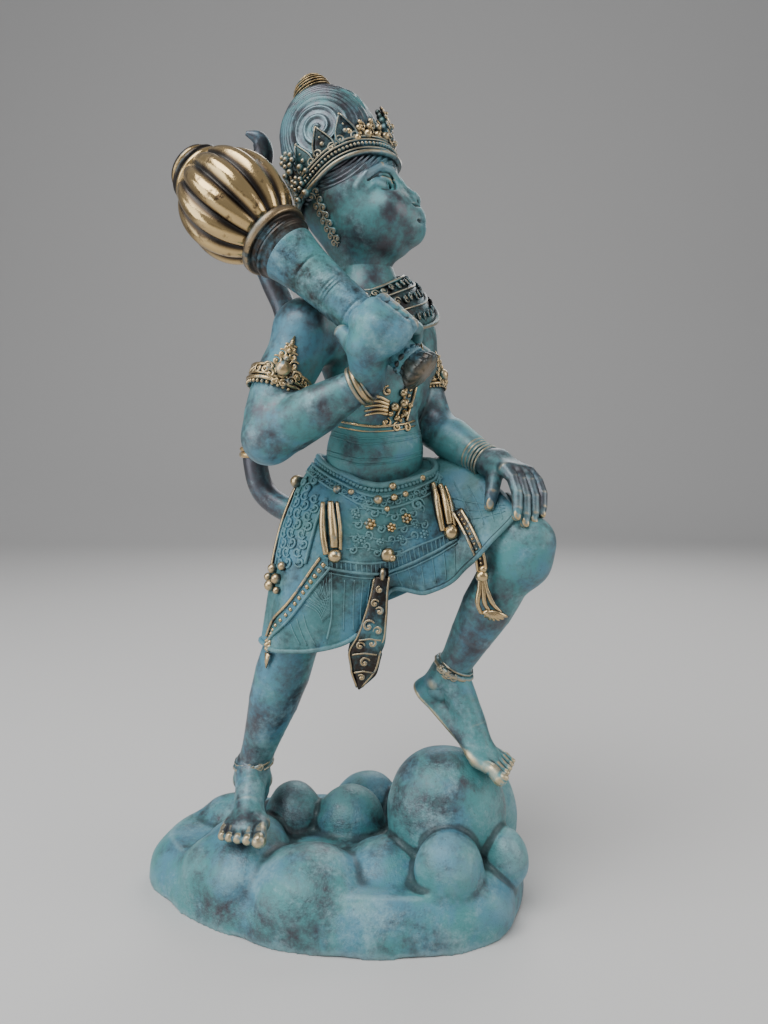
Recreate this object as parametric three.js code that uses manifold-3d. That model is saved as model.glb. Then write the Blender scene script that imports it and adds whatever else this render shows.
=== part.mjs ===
// A cast bronze monkey deity, 300 mm tall, striding on a base of rounded boulders.
// It holds a melon-headed mace over its right shoulder and rests its left hand on its raised knee.
// The figure, with mace, tail, skirt and jewellery, is one casting; the rocks are a second one.
// Millimetres, +Z up. The origin is the middle of the flat underside of the rocks.
// The front of the statue looks along -Y, and +X is on the viewer's right.

import * as THREE from "three";
import { mergeVertices } from "three/addons/utils/BufferGeometryUtils.js";
import Module from "manifold-3d";

const wasm = await Module();
wasm.setup();

// Turns of the body about the vertical, in degrees from the front towards the viewer's right
const PELVIS_TURN = 38;
const CHEST_TURN = 48;
const HEAD_TURN = 75;
const HEAD_LIFT = 22;

// Joints of the body
const PELVIS = [9, 0, 140];
const WAIST = [11.5, 0, 160];
const CHEST = [13, 0, 191];
const NECK = [9, 3, 221];
const HEAD = [3.3, 2, 256.6];
const RIGHT_SHOULDER = [-12, -19, 206];
const RIGHT_ELBOW = [-23.5, -28, 167.4];
const RIGHT_WRIST = [10, -40, 188];
const RIGHT_FIST = [15, -41, 201];
const LEFT_SHOULDER = [25.5, 18, 211];
const LEFT_ELBOW = [35, 9, 173.5];
const LEFT_WRIST = [52, -9, 161.5];
const RIGHT_KNEE = [-17, -7, 101];
const RIGHT_ANKLE = [-35.5, 2, 44];
const LEFT_KNEE = [65, -18, 135];
const LEFT_ANKLE = [40, -3, 83];
const SOLE_HEIGHT = 28;
const MACE_HEAD = [-35, -21, 247.5];

// Thickness of the limbs, as half widths
const UPPER_ARM = 8;
const FOREARM = 8.8;
const WRIST = 4.9;
const THIGH = 12.5;
const CALF = 9;
const ANKLE = 6;
const FINGER = 2.2;
const TOE = 2.1;
const TAIL = 5;

// The mace
const MELON_RADIUS = 18.2;
const MELON_HALF_LENGTH = 20;
const MELON_FLUTES = 12;
const MELON_FLUTE_DEPTH = 2.2;
const HANDLE_RADIUS = 6.6;

// The crown
const CROWN_RADIUS = 19.5;
const CROWN_LEAVES = 10;
const LEAF_HEIGHT = 11;
const DIADEM_UP = 7;

// The rocks
const BASE_WIDTH = 144;
const BASE_DEPTH = 98;
const SEAT_GAP = 0.3;

const BRONZE_PATINA = new THREE.MeshStandardMaterial({ color: 0x2f4f52, roughness: 0.6, metalness: 0.7 });
const ROCK_PATINA = new THREE.MeshStandardMaterial({ color: 0x3f6b6a, roughness: 0.75, metalness: 0.5 });

const vector = ([x, y, z]) => new THREE.Vector3(x, y, z);
const radians = THREE.MathUtils.degToRad;
const between = (from, to, share) => from.map((value, axis) => value + (to[axis] - value) * share);
const shifted = (point, x, y, z) => [point[0] + x, point[1] + y, point[2] + z];

// A closed geometry as a solid that can be joined and cut
function solid(geometry) {
  geometry.deleteAttribute("normal");
  geometry.deleteAttribute("uv");
  const merged = mergeVertices(geometry, 1e-4);
  return new wasm.Manifold(
    new wasm.Mesh({
      numProp: 3,
      vertProperties: merged.getAttribute("position").array,
      triVerts: new Uint32Array(merged.index.array),
    }),
  );
}

const joined = (pieces) => pieces.reduce((whole, piece) => whole.add(piece));

// A rounded skin over rings along a smooth path. Each station is x, y, z, half width and half depth.
// The width lies across the front, and relief(angle, along) scales a ring at an angle in radians.
function skin(stations, options = {}) {
  const { sides = 10, steps = 8, front = [0, -1, 0], capRows = 2, relief = () => 1 } = options;
  const path = new THREE.CatmullRomCurve3(
    stations.map((station) => vector(station)),
    false,
    "centripetal",
  );
  const sizes = new THREE.CatmullRomCurve3(
    stations.map(([, , , width, depth]) => new THREE.Vector3(width, depth ?? width, 0)),
    false,
    "centripetal",
  );
  const rows = steps + 2 * capRows;
  const geometry = new THREE.SphereGeometry(1, sides, rows);
  const position = geometry.getAttribute("position");
  for (let i = 0; i < position.count; i++) {
    const row = Math.floor(i / (sides + 1));
    const column = (i % (sides + 1)) % sides;
    const angle = (column / sides) * 2 * Math.PI;
    const along = THREE.MathUtils.clamp(1 - (row - capRows) / steps, 0, 1);
    const beyond = row < capRows ? capRows - row : Math.min(0, rows - capRows - row);
    const capAngle = (beyond / capRows) * (Math.PI / 2);
    const tangent = path.getTangent(along);
    const across = vector(front).cross(tangent).normalize();
    const deep = tangent.clone().cross(across);
    const size = sizes.getPoint(along);
    const scale = Math.cos(capAngle) * relief(angle, along);
    const bulge = Math.sin(capAngle) * Math.min(size.x, size.y);
    const point = path
      .getPoint(along)
      .addScaledVector(tangent, bulge)
      .addScaledVector(across, size.x * scale * Math.cos(angle))
      .addScaledVector(deep, size.y * scale * Math.sin(angle));
    position.setXYZ(i, point.x, point.y, point.z);
  }
  return solid(geometry);
}

// A small boss of cast metal, with few faces
function boss(at, [x, y, z], turn = 0) {
  const geometry = new THREE.IcosahedronGeometry(1, 0);
  geometry.scale(x, y, z);
  geometry.rotateZ(radians(turn));
  geometry.translate(...at);
  return solid(geometry);
}

// Turns a geometry made about its own Y axis so that this axis points along a direction
function aimed(geometry, at, direction) {
  const turn = new THREE.Quaternion().setFromUnitVectors(new THREE.Vector3(0, 1, 0), vector(direction).normalize());
  geometry.applyQuaternion(turn);
  geometry.translate(...at);
  return geometry;
}

// A bangle round a limb, a ridge of triangular section
function bangle(at, direction, radius, thickness, steps = 9) {
  const geometry = new THREE.TorusGeometry(radius, thickness, 3, steps);
  geometry.rotateX(Math.PI / 2);
  return solid(aimed(geometry, at, direction));
}

// An oval hoop round the body, in the frame of that part of the body
function hoop(frame, up, halfWidth, halfDepth, thickness, steps = 14) {
  const geometry = new THREE.TorusGeometry(1, thickness / halfDepth, 4, steps);
  geometry.scale(halfWidth, halfDepth, halfDepth);
  geometry.translate(0, 0, up);
  geometry.applyMatrix4(frame);
  return solid(geometry);
}

// A body turned on a lathe, from a profile of radius and height that starts and ends on the axis
function turned(profile, at, direction, steps = 10) {
  const points = profile.map(([radius, height]) => new THREE.Vector2(radius, height));
  return solid(aimed(new THREE.LatheGeometry(points, steps), at, direction));
}

// Places local points of a part of the body: x to its left, -y to its front, z up
function bodyFrame(at, turn, lift = 0) {
  return new THREE.Matrix4()
    .makeTranslation(...at)
    .multiply(new THREE.Matrix4().makeRotationZ(radians(turn)))
    .multiply(new THREE.Matrix4().makeRotationX(radians(-lift)));
}

const inFrame = (frame, point) => vector(point).applyMatrix4(frame).toArray();
const PELVIS_FRAME = bodyFrame(PELVIS, PELVIS_TURN);
const CHEST_FRAME = bodyFrame(CHEST, CHEST_TURN);
const HEAD_FRAME = bodyFrame(HEAD, HEAD_TURN, HEAD_LIFT);
const facing = (turn) => [Math.sin(radians(turn)), -Math.cos(radians(turn)), 0];

function torso() {
  const stations = [
    [...PELVIS, 18, 15],
    [...shifted(WAIST, -0.5, 0, -4), 19, 14.6],
    [...shifted(WAIST, -0.5, 0, 8), 18.8, 14.4],
    [...shifted(CHEST, -0.5, 0, -8), 21, 15.4],
    [...shifted(CHEST, -1, 0, 8), 23, 15.5],
    [...shifted(NECK, 0, -1, -10), 22, 13],
    [...shifted(NECK, 0, 0, 0), 15.5, 11],
    [...shifted(NECK, -0.5, 0, 8), 10.5, 10],
  ];
  return skin(stations, { sides: 12, steps: 8, front: facing(CHEST_TURN), capRows: 1 });
}

// Puts a geometry of the head in its place, from how far it is to the left, to the front and up
function onHead(geometry, [left, front, up], sizes) {
  geometry.scale(...sizes);
  geometry.translate(left, -front, up);
  return solid(geometry.applyMatrix4(HEAD_FRAME));
}

function headBall(at, sizes, sides = 8, rows = 6) {
  return onHead(new THREE.SphereGeometry(1, sides, rows).rotateX(Math.PI / 2), at, sizes);
}

const headBoss = (at, sizes) => onHead(new THREE.IcosahedronGeometry(1, 0), at, sizes);

// The face is a monkey's: a round muzzle with a short nose, arched brows and curls before the ears
function neckAndHead() {
  const neck = skin(
    [
      [...shifted(NECK, 0, 0, 6), 10, 9.6],
      [...between(NECK, HEAD, 0.45), 9.4, 9.4],
      [...between(NECK, HEAD, 0.75), 10, 10],
    ],
    { sides: 9, steps: 2, capRows: 1 },
  );
  const skull = headBall([0, 0, 0], [17, 19, 18.3], 11, 7);
  const jaw = headBall([0, -2, -11.5], [14.2, 14, 13], 9, 6);
  const cheeks = headBall([0, 6.3, -12.6], [14.6, 14.8, 14.2], 11, 8);
  const muzzle = headBall([0, 14, -15.6], [9.5, 8.5, 8.7], 9, 6);
  const nose = headBall([0, 18.6, -9.6], [4.4, 4.2, 3.2], 6, 5);
  const pairs = [-1, 1].flatMap((side) => {
    const brow = [
      [side * 4, 17.6, -1.4, 1.5],
      [side * 10, 14.6, 0.6, 1.6],
      [side * 14.4, 7, -3, 1.2],
    ].map(([left, front, up, size]) => [...inFrame(HEAD_FRAME, [left, -front, up]), size, size]);
    return [
      skin(brow, { sides: 4, steps: 3, front: facing(HEAD_TURN), capRows: 1 }),
      headBall([side * 9, 13.4, -4.4], [3.8, 3, 2.2], 6, 5),
      headBoss([side * 16, -8.5, 2], [2.8, 3.6, 3.4]),
      headBoss([side * 15.4, -9, -3.5], [2.8, 3.6, 3.2]),
      headBoss([side * 13.6, -9, -8.5], [2.8, 3.4, 3]),
      headBoss([side * 11.8, -8, -13.6], [3, 4, 3.4]),
    ];
  });
  return joined([neck, skull, jaw, cheeks, muzzle, nose, ...pairs]);
}

// The crown: a diadem of leaves round a dome of hair whose locks coil at the sides, with a ribbed cap
function crown() {
  const placed = (geometry) => solid(geometry.applyMatrix4(HEAD_FRAME));
  const dome = new THREE.LatheGeometry(
    [
      [0, DIADEM_UP - 3],
      [CROWN_RADIUS - 1.6, DIADEM_UP - 2.2],
      [CROWN_RADIUS + 0.8, DIADEM_UP],
      [CROWN_RADIUS - 1.6, DIADEM_UP + 2.2],
      [17.6, 21],
      [16.6, 28.5],
      [13.6, 35.5],
      [7.4, 40.6],
      [6.8, 43],
      [0, 46.8],
    ].map(([radius, height]) => new THREE.Vector2(radius, height)),
    16,
  );
  dome.rotateX(Math.PI / 2);
  dome.scale(0.96, 1.02, 1);
  const leaves = Array.from({ length: CROWN_LEAVES }, (_, index) => {
    const angle = (index / CROWN_LEAVES) * 2 * Math.PI;
    const tall = index === 0 ? LEAF_HEIGHT * 1.7 : LEAF_HEIGHT;
    const leaf = new THREE.ConeGeometry(1, tall, 4);
    leaf.scale(5, 1, 2.6);
    leaf.rotateX(Math.PI / 2);
    leaf.translate(0, -CROWN_RADIUS + 0.6, DIADEM_UP + tall / 2);
    leaf.rotateZ(angle);
    return placed(leaf);
  });
  const pairs = [-1, 1].flatMap((side) => {
    const coil = new THREE.TorusGeometry(7.6, 1.7, 4, 9);
    coil.rotateY(Math.PI / 2);
    coil.translate(side * 14.6, -1, 22.5);
    return [
      placed(coil),
      headBoss([side * 15.4, 1, 22.5], [3.6, 3.6, 3.6]),
      headBoss([side * 14.6, -12, 18], [4.4, 4.4, 3.8]),
      headBoss([side * 15.6, -13, 10.5], [4.4, 4.4, 3.8]),
    ];
  });
  return joined([placed(dome), ...leaves, ...pairs]);
}

function arms() {
  const right = skin(
    [
      [...shifted(RIGHT_SHOULDER, 9, 8, 1), 10, 10],
      [...shifted(RIGHT_SHOULDER, 0, 0, 1), 10.6, 10.6],
      [...between(RIGHT_SHOULDER, RIGHT_ELBOW, 0.5), UPPER_ARM + 0.6, UPPER_ARM + 0.6],
      [...between(RIGHT_SHOULDER, RIGHT_ELBOW, 0.85), UPPER_ARM - 0.4, UPPER_ARM - 0.4],
      [...RIGHT_ELBOW, UPPER_ARM - 0.6, UPPER_ARM - 0.6],
      [...between(RIGHT_ELBOW, RIGHT_WRIST, 0.3), FOREARM, FOREARM],
      [...between(RIGHT_ELBOW, RIGHT_WRIST, 0.65), FOREARM - 1, FOREARM - 1],
      [...RIGHT_WRIST, WRIST, WRIST],
    ],
    { sides: 9, steps: 12, front: [-0.5, -0.8, 0.35], capRows: 1 },
  );
  const left = skin(
    [
      [...shifted(LEFT_SHOULDER, -7, -6, 1), 10, 10],
      [...shifted(LEFT_SHOULDER, 0, 0, -2), 8.8, 8.8],
      [...between(LEFT_SHOULDER, LEFT_ELBOW, 0.5), UPPER_ARM - 1.6, UPPER_ARM - 1.6],
      [...LEFT_ELBOW, UPPER_ARM - 1, UPPER_ARM - 1],
      [...between(LEFT_ELBOW, LEFT_WRIST, 0.45), FOREARM - 0.8, FOREARM - 0.8],
      [...LEFT_WRIST, WRIST, WRIST],
    ],
    { sides: 9, steps: 9, front: [0.73, 0.68, 0], capRows: 1 },
  );
  return right.add(left);
}

// The mace's own axis runs from the fist to the middle of the melon
const MACE_AXIS = vector(MACE_HEAD).sub(vector(RIGHT_FIST)).normalize();
const alongMace = (distance) => vector(MACE_HEAD).addScaledVector(MACE_AXIS, distance).toArray();
const FIST_DISTANCE = -vector(MACE_HEAD).distanceTo(vector(RIGHT_FIST));

function mace() {
  const toHead = MACE_AXIS.toArray();
  const melon = new THREE.SphereGeometry(1, MELON_FLUTES * 2, 7);
  const position = melon.getAttribute("position");
  for (let i = 0; i < position.count; i++) {
    const [x, y, z] = [position.getX(i), position.getY(i), position.getZ(i)];
    const ring = Math.hypot(x, z);
    const lobe = Math.abs(Math.cos((MELON_FLUTES / 2) * Math.atan2(z, x)));
    const radius = MELON_RADIUS - MELON_FLUTE_DEPTH * (1 - lobe) * ring;
    position.setXYZ(i, x * radius, y * MELON_HALF_LENGTH, z * radius);
  }
  const knob = turned(
    [
      [0, 15],
      [10.4, 16.4],
      [11.2, 18.6],
      [8.6, 19.8],
      [9, 21.6],
      [7.4, 25],
      [0, 28],
    ],
    MACE_HEAD,
    toHead,
  );
  const shaft = turned(
    [
      [0, FIST_DISTANCE - 17.4],
      [6, FIST_DISTANCE - 17.4],
      [4.8, FIST_DISTANCE - 9],
      [HANDLE_RADIUS - 0.4, FIST_DISTANCE + 8],
      [HANDLE_RADIUS + 0.6, -40],
      [9, -26],
      [9.8, -23],
      [12.4, -22],
      [12.6, -19.4],
      [10, -17],
      [0, -16],
    ],
    MACE_HEAD,
    toHead,
  );
  return joined([solid(aimed(melon, MACE_HEAD, toHead)), knob, shaft]);
}

// The fist: fingers curled round the handle, palm towards the viewer, thumb over the top
function rightHand() {
  const palmSide = new THREE.Vector3(0, -1, 0);
  palmSide.addScaledVector(MACE_AXIS, -palmSide.dot(MACE_AXIS)).normalize();
  const over = MACE_AXIS.clone().cross(palmSide);
  const grip = HANDLE_RADIUS - 1 + FINGER;
  const round = (distance, degrees, radius) =>
    vector(alongMace(FIST_DISTANCE + distance))
      .addScaledVector(palmSide, Math.cos(radians(degrees)) * radius)
      .addScaledVector(over, Math.sin(radians(degrees)) * radius)
      .toArray();
  const palm = skin(
    [
      [...RIGHT_WRIST, WRIST + 1, WRIST + 1],
      [...round(-1, -38, 10), 7.4, 6],
      [...round(0, 12, 9.4), 8.4, 4.4],
      [...round(0, 40, 8.6), 8, 3.4],
    ],
    { sides: 9, steps: 4, front: palmSide.toArray(), capRows: 1 },
  );
  const fingers = [0, 1, 2, 3].map((finger) => {
    const distance = 6.2 - 4.1 * finger;
    return skin(
      [30, 75, 120, 165, 205].map((degrees) => [...round(distance, degrees, grip), FINGER, FINGER]),
      { sides: 4, steps: 3, front: MACE_AXIS.toArray(), capRows: 1 },
    );
  });
  const thumb = skin(
    [
      [...round(3, -60, 9), 3.4, 3.4],
      [...round(9, -70, grip + 0.6), 2.8, 2.8],
      [...round(11, -120, grip), 2.4, 2.4],
    ],
    { sides: 6, steps: 3, front: MACE_AXIS.toArray(), capRows: 1 },
  );
  return joined([palm, ...fingers, thumb]);
}

// The left hand arches over the knee, its fingers hanging down in front of it
function leftHand() {
  const knuckles = [61.5, -17, 158.5];
  const row = [9, 7.2, -1.6];
  const palm = skin(
    [
      [...LEFT_WRIST, WRIST, WRIST - 0.6],
      [...between(LEFT_WRIST, knuckles, 0.5), 6, 4],
      [...knuckles, 7, 3.2],
    ],
    { sides: 9, steps: 3, front: [0.3, 0.2, 1], capRows: 1 },
  );
  const fingers = [-0.52, -0.17, 0.18, 0.53].map((share, finger) => {
    const root = shifted(knuckles, share * row[0], share * row[1], share * row[2]);
    const length = [16, 18, 17, 14][finger];
    return skin(
      [
        [...root, FINGER, FINGER],
        [...shifted(root, 3, -4, -length * 0.35), FINGER, FINGER],
        [...shifted(root, 3.6, -6.4, -length * 0.7), FINGER - 0.2, FINGER - 0.2],
        [...shifted(root, 3, -7.6, -length), FINGER - 0.5, FINGER - 0.5],
      ],
      { sides: 4, steps: 3, front: [1, 0.5, 0], capRows: 1 },
    );
  });
  const thumb = skin(
    [
      [...shifted(LEFT_WRIST, 2, -4, -1), 3.4, 3.4],
      [...shifted(LEFT_WRIST, 1.5, -9, -6), 2.8, 2.8],
      [...shifted(LEFT_WRIST, 0, -11.5, -14.5), 2.2, 2.2],
    ],
    { sides: 6, steps: 3, front: [1, 0, 0], capRows: 1 },
  );
  return joined([palm, ...fingers, thumb]);
}

function legs() {
  const rightHip = inFrame(PELVIS_FRAME, [-10, 0, 0]);
  const leftHip = inFrame(PELVIS_FRAME, [10, 0, 1]);
  const right = skin(
    [
      [...rightHip, THIGH, THIGH],
      [...between(rightHip, RIGHT_KNEE, 0.5), THIGH, THIGH],
      [...RIGHT_KNEE, 10.4, 10.4],
      [...between(RIGHT_KNEE, RIGHT_ANKLE, 0.3), CALF + 1, CALF + 1.4],
      [...between(RIGHT_KNEE, RIGHT_ANKLE, 0.65), CALF - 1.4, CALF - 1],
      [...RIGHT_ANKLE, ANKLE, ANKLE],
      [...shifted(RIGHT_ANKLE, -0.4, 2, -9), ANKLE, ANKLE + 1],
    ],
    { sides: 8, steps: 8, capRows: 1 },
  );
  const left = skin(
    [
      [...leftHip, THIGH, THIGH],
      [...between(leftHip, LEFT_KNEE, 0.5), THIGH - 0.5, THIGH - 0.5],
      [...shifted(LEFT_KNEE, -4, 2, 0), 10.8, 10.8],
      [...shifted(LEFT_KNEE, -1.5, 0.5, -8), 10.4, 10.4],
      [...between(LEFT_KNEE, LEFT_ANKLE, 0.4), CALF + 0.6, CALF + 1.4],
      [...between(LEFT_KNEE, LEFT_ANKLE, 0.75), CALF - 1.6, CALF - 1],
      [...LEFT_ANKLE, ANKLE, ANKLE],
      [...shifted(LEFT_ANKLE, -3.4, 1, -6), ANKLE, ANKLE],
    ],
    { sides: 9, steps: 10, front: [0.5, 0.86, 0], capRows: 1 },
  );
  return right.add(left);
}

// A foot from heel to toe tips, with its instep running up to the ankle
function foot({ heel, ankle, ball: ballOfFoot, tip, across, up }) {
  const body = skin(
    [
      [...heel, 5.6, 5.2],
      [...between(heel, ballOfFoot, 0.35), 6, 4.6],
      [...between(heel, ballOfFoot, 0.7), 7.4, 3.9],
      [...ballOfFoot, 8.6, 3.4],
    ],
    { sides: 8, steps: 4, front: up, capRows: 1 },
  );
  const bridge = skin(
    [
      [...ankle, ANKLE, ANKLE],
      [...between(ankle, ballOfFoot, 0.5), 5.8, 4.8],
      [...ballOfFoot, 6.4, 2.6],
    ],
    { sides: 7, steps: 2, front: up, capRows: 1 },
  );
  const toes = [-6.2, -1.9, 1.5, 4.6, 7.4].map((offset, toe) => {
    const size = toe === 0 ? TOE + 0.5 : TOE - 0.3 - 0.08 * toe;
    const reach = 1 - 0.09 * toe;
    const [root, end] = [-0.3, reach].map((share) =>
      between(ballOfFoot, tip, share).map((value, axis) => value + across[axis] * offset),
    );
    return skin([root, end].map((point) => [...point, size]), { sides: 4, steps: 1, front: up, capRows: 1 });
  });
  return joined([body, bridge, ...toes]);
}

// The hollow in the rock that a foot is brazed into
function seat({ heel, ball: ballOfFoot, tip, up }) {
  const clear = 3;
  const along = vector(tip).sub(vector(heel)).normalize().multiplyScalar(clear).toArray();
  return skin(
    [
      [...shifted(heel, -along[0], -along[1], -along[2]), 5.6 + clear, 5.2 + SEAT_GAP],
      [...ballOfFoot, 10 + clear, 4.6 + SEAT_GAP],
      [...shifted(tip, ...along), 10 + clear, 3.4 + SEAT_GAP],
    ],
    { sides: 8, steps: 3, front: up, capRows: 1 },
  );
}

const RIGHT_FOOT = {
  heel: [-36, 7, SOLE_HEIGHT + 5],
  ankle: RIGHT_ANKLE,
  ball: [-34.5, -20, SOLE_HEIGHT + 3.2],
  tip: [-34.5, -29, SOLE_HEIGHT + 2.4],
  across: [-1, 0, 0],
  up: [0, 0, 1],
};
const LEFT_FOOT = {
  heel: [30.6, 2.2, 72.4],
  ankle: LEFT_ANKLE,
  ball: [52.5, -14, 54],
  tip: [59.5, -19, 50.5],
  across: [0.6, 0.8, 0],
  up: [0.55, -0.35, 0.75],
};

// The skirt hangs to the right knee and is drawn along the raised left thigh, with its hem below it
function skirt() {
  const pleats = (angle, along) => 1 + 0.03 * (1 - along) * Math.cos(8 * angle);
  const fall = skin(
    [
      [-11, -6, 100, 20, 17],
      [-5, -5, 114, 22, 18],
      [0, -3, 128, 22, 18],
      [7, -1, 145, 20.5, 17.5],
      [11, 0, 156, 19, 15.5],
    ],
    { sides: 24, steps: 4, front: facing(20), relief: pleats, capRows: 1 },
  );
  const lap = skin(
    [
      [12, 4, 138, 14, 20],
      [24, 1, 136, 15, 22.5],
      [38, -6, 137, 14.5, 18],
      [50, -12, 140, 13, 12.5],
    ],
    { sides: 14, steps: 4, front: [0, 0, 1], capRows: 1 },
  );
  const hemCut = new THREE.BoxGeometry(120, 120, 30);
  hemCut.translate(0, 0, 96 - 15);
  return fall.subtract(solid(hemCut)).add(lap);
}

// The long leaf-shaped pendant between the legs, the jewelled sash at the side and the ribbon on the thigh
function pendants() {
  const front = [
    [8.5, -20, 121, 3.6, 2],
    [8, -21, 110, 5.4, 2.2],
    [6.5, -21, 98, 7, 2.2],
    [5, -20, 88, 4.4, 1.8],
    [5, -19, 82, 1, 1],
  ];
  const sash = [
    [-16, -18, 150, 3, 2],
    [-20, -20, 128, 4, 2],
    [-26, -18, 106, 3.6, 2],
    [-30, -15, 90, 1.4, 1.2],
  ];
  const ribbon = [
    [40, -19, 146, 2.2, 1.8],
    [46, -22, 132, 2.2, 1.8],
    [47, -22, 122, 2.4, 1.8],
    [49, -20, 114, 4, 2.4],
    [54, -19, 105, 5.4, 2.2],
  ];
  return joined([front, sash, ribbon].map((stations) => skin(stations, { sides: 5, steps: 5, front: facing(15), capRows: 1 })));
}

// Belts, collar, armlets, bracelets, anklets, chest ornament and buckle
function jewellery() {
  const share = (from, to, part) => [between(from, to, part), vector(to).sub(vector(from)).toArray()];
  const [rightArmletAt, rightUpper] = share(RIGHT_SHOULDER, RIGHT_ELBOW, 0.5);
  const [leftArmletAt, leftUpper] = share(LEFT_SHOULDER, LEFT_ELBOW, 0.55);
  const [rightBraceletAt, rightLower] = share(RIGHT_ELBOW, RIGHT_WRIST, 0.95);
  const [leftBraceletAt, leftLower] = share(LEFT_ELBOW, LEFT_WRIST, 0.93);
  return joined([
    hoop(PELVIS_FRAME, 15, 19, 16, 2.4),
    hoop(bodyFrame(shifted(NECK, 0, -1, -4), CHEST_TURN, -20), 0, 15, 12, 3, 14),
    bangle(rightArmletAt, rightUpper, UPPER_ARM + 0.6, 2),
    boss(shifted(rightArmletAt, 0, -10.4, 3), [3.4, 3, 4]),
    bangle(leftArmletAt, leftUpper, UPPER_ARM - 1.6, 1.8),
    boss(shifted(leftArmletAt, 7, -3.4, 1), [2.4, 2.6, 3.4]),
    bangle(rightBraceletAt, rightLower, WRIST + 1.2, 1.5),
    bangle(leftBraceletAt, leftLower, WRIST + 0.4, 1.6),
    bangle(RIGHT_ANKLE, [-0.1, 0, 1], ANKLE + 0.4, 1.9),
    bangle(LEFT_ANKLE, [0.45, -0.25, 0.9], ANKLE + 0.4, 1.9),
    boss(inFrame(CHEST_FRAME, [0, -14.5, -8]), [6.4, 3.4, 5.4], CHEST_TURN),
    boss(inFrame(PELVIS_FRAME, [-4, -18, 6]), [7.4, 4.4, 6.8], PELVIS_TURN),
  ]);
}

// The tail rises from the rump, loops out behind the right elbow and stands up behind the back
function tail() {
  const stations = [
    [-6, 13, 141, TAIL, TAIL],
    [-23, 20, 142, TAIL, TAIL],
    [-33, 23, 149, TAIL, TAIL],
    [-36.4, 24, 160, TAIL, TAIL],
    [-36.4, 25, 172, TAIL, TAIL],
    [-31, 28, 194, TAIL, TAIL],
    [-24, 30, 217, TAIL, TAIL],
    [-30, 30, 234, TAIL, TAIL],
    [-37, 27, 252, TAIL, TAIL],
    [-35, 22, 270, TAIL, TAIL],
    [-31, 18, 279, TAIL, TAIL],
    [-33, 15, 283.5, TAIL * 0.7, TAIL * 0.7],
    [-38.5, 14, 285.5, TAIL * 0.3, TAIL * 0.3],
  ];
  const tube = skin(stations, { sides: 6, steps: 18, front: [0.3, 0.9, 0.2], capRows: 1 });
  return tube.add(bangle([-36.4, 24.4, 165.5], [0, 0.1, 1], TAIL + 0.4, 1.4));
}

// Boulders of the base: x, y, z of the middle, then half sizes, then turn in degrees
const BOULDERS = [
  [-12, -26, 9, 22, 19, 17.5, 4],
  [-49, -15, 12, 10, 11, 12, 20],
  [-66, 3, 4, 9, 12, 11, 0],
  [-37, -10, 14, 17, 24, 14.6, 0],
  [38, -8, 32, 22, 19, 24, 0],
  [37.5, -31, 21, 12, 11, 13, 0],
  [59, -20, 19, 8, 9, 11, 0],
  [-21, 15, 18, 11.5, 12, 15, 0],
  [1.5, 12, 17, 14, 13, 15, 10],
  [8, 33, 15, 15, 12, 14, 0],
  [59, 14, 20, 9, 14, 17, 0],
  [33, 26, 16, 17, 14, 17, 0],
  [-44, 22, 13, 16, 13, 12, 0],
  [16, -18, 10, 17, 18, 15, 0],
  [45, -28, 7, 16, 14, 12, 0],
];

// A boulder: a ball pressed a little towards a block
function boulder([x, y, z, a, b, c, turn]) {
  const geometry = new THREE.SphereGeometry(1, 9, 5);
  const position = geometry.getAttribute("position");
  for (let i = 0; i < position.count; i++) {
    const point = new THREE.Vector3().fromBufferAttribute(position, i);
    const power = 2.5;
    const sum = Math.abs(point.x) ** power + Math.abs(point.y) ** power + Math.abs(point.z) ** power;
    point.multiplyScalar(sum ** (-1 / power));
    position.setXYZ(i, point.x, point.y, point.z);
  }
  geometry.rotateX(Math.PI / 2);
  geometry.scale(a, b, c);
  geometry.rotateZ(radians(turn));
  geometry.translate(x, y, z);
  return solid(geometry);
}

// The mound under the boulders: its outline drawn in and raised towards the middle, flat below
function mound() {
  const outline = new THREE.CatmullRomCurve3(
    [
      [-BASE_WIDTH / 2 - 4, 6],
      [-67, -12],
      [-50, -28],
      [-16, -45],
      [14, -BASE_DEPTH / 2],
      [44, -44],
      [62, -27],
      [BASE_WIDTH / 2 - 4, 2],
      [61, 28],
      [34, 45],
      [-4, BASE_DEPTH / 2],
      [-46, 40],
      [-70, 24],
    ].map(([x, y]) => new THREE.Vector3(x, y, 0)),
    true,
    "centripetal",
  );
  const levels = [
    [0.5, 0],
    [1, 0],
    [1, 4],
    [0.95, 10],
    [0.8, 15.5],
    [0.4, 18],
  ];
  const sides = 24;
  const rows = levels.length + 1;
  const geometry = new THREE.SphereGeometry(1, sides, rows);
  const position = geometry.getAttribute("position");
  const edge = Array.from({ length: sides }, (_, side) => outline.getPointAt(side / sides));
  for (let i = 0; i < position.count; i++) {
    const row = Math.floor(i / (sides + 1));
    const column = (i % (sides + 1)) % sides;
    const [share, height] = row === 0 ? [0, 18] : row === rows ? [0, 0] : levels[rows - 1 - row];
    position.setXYZ(i, edge[column].x * share, edge[column].y * share, height);
  }
  return solid(geometry);
}

function rockBase() {
  const belowFloor = new THREE.BoxGeometry(300, 300, 60);
  belowFloor.translate(0, 0, -30);
  const rocks = joined([mound(), ...BOULDERS.map(boulder)]);
  return rocks.subtract(joined([solid(belowFloor), seat(RIGHT_FOOT), seat(LEFT_FOOT)]));
}

function castFigure() {
  return joined([
    torso(),
    neckAndHead(),
    crown(),
    arms(),
    mace(),
    rightHand(),
    leftHand(),
    legs(),
    foot(RIGHT_FOOT),
    foot(LEFT_FOOT),
    skirt(),
    pendants(),
    jewellery(),
    tail(),
  ]);
}

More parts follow.
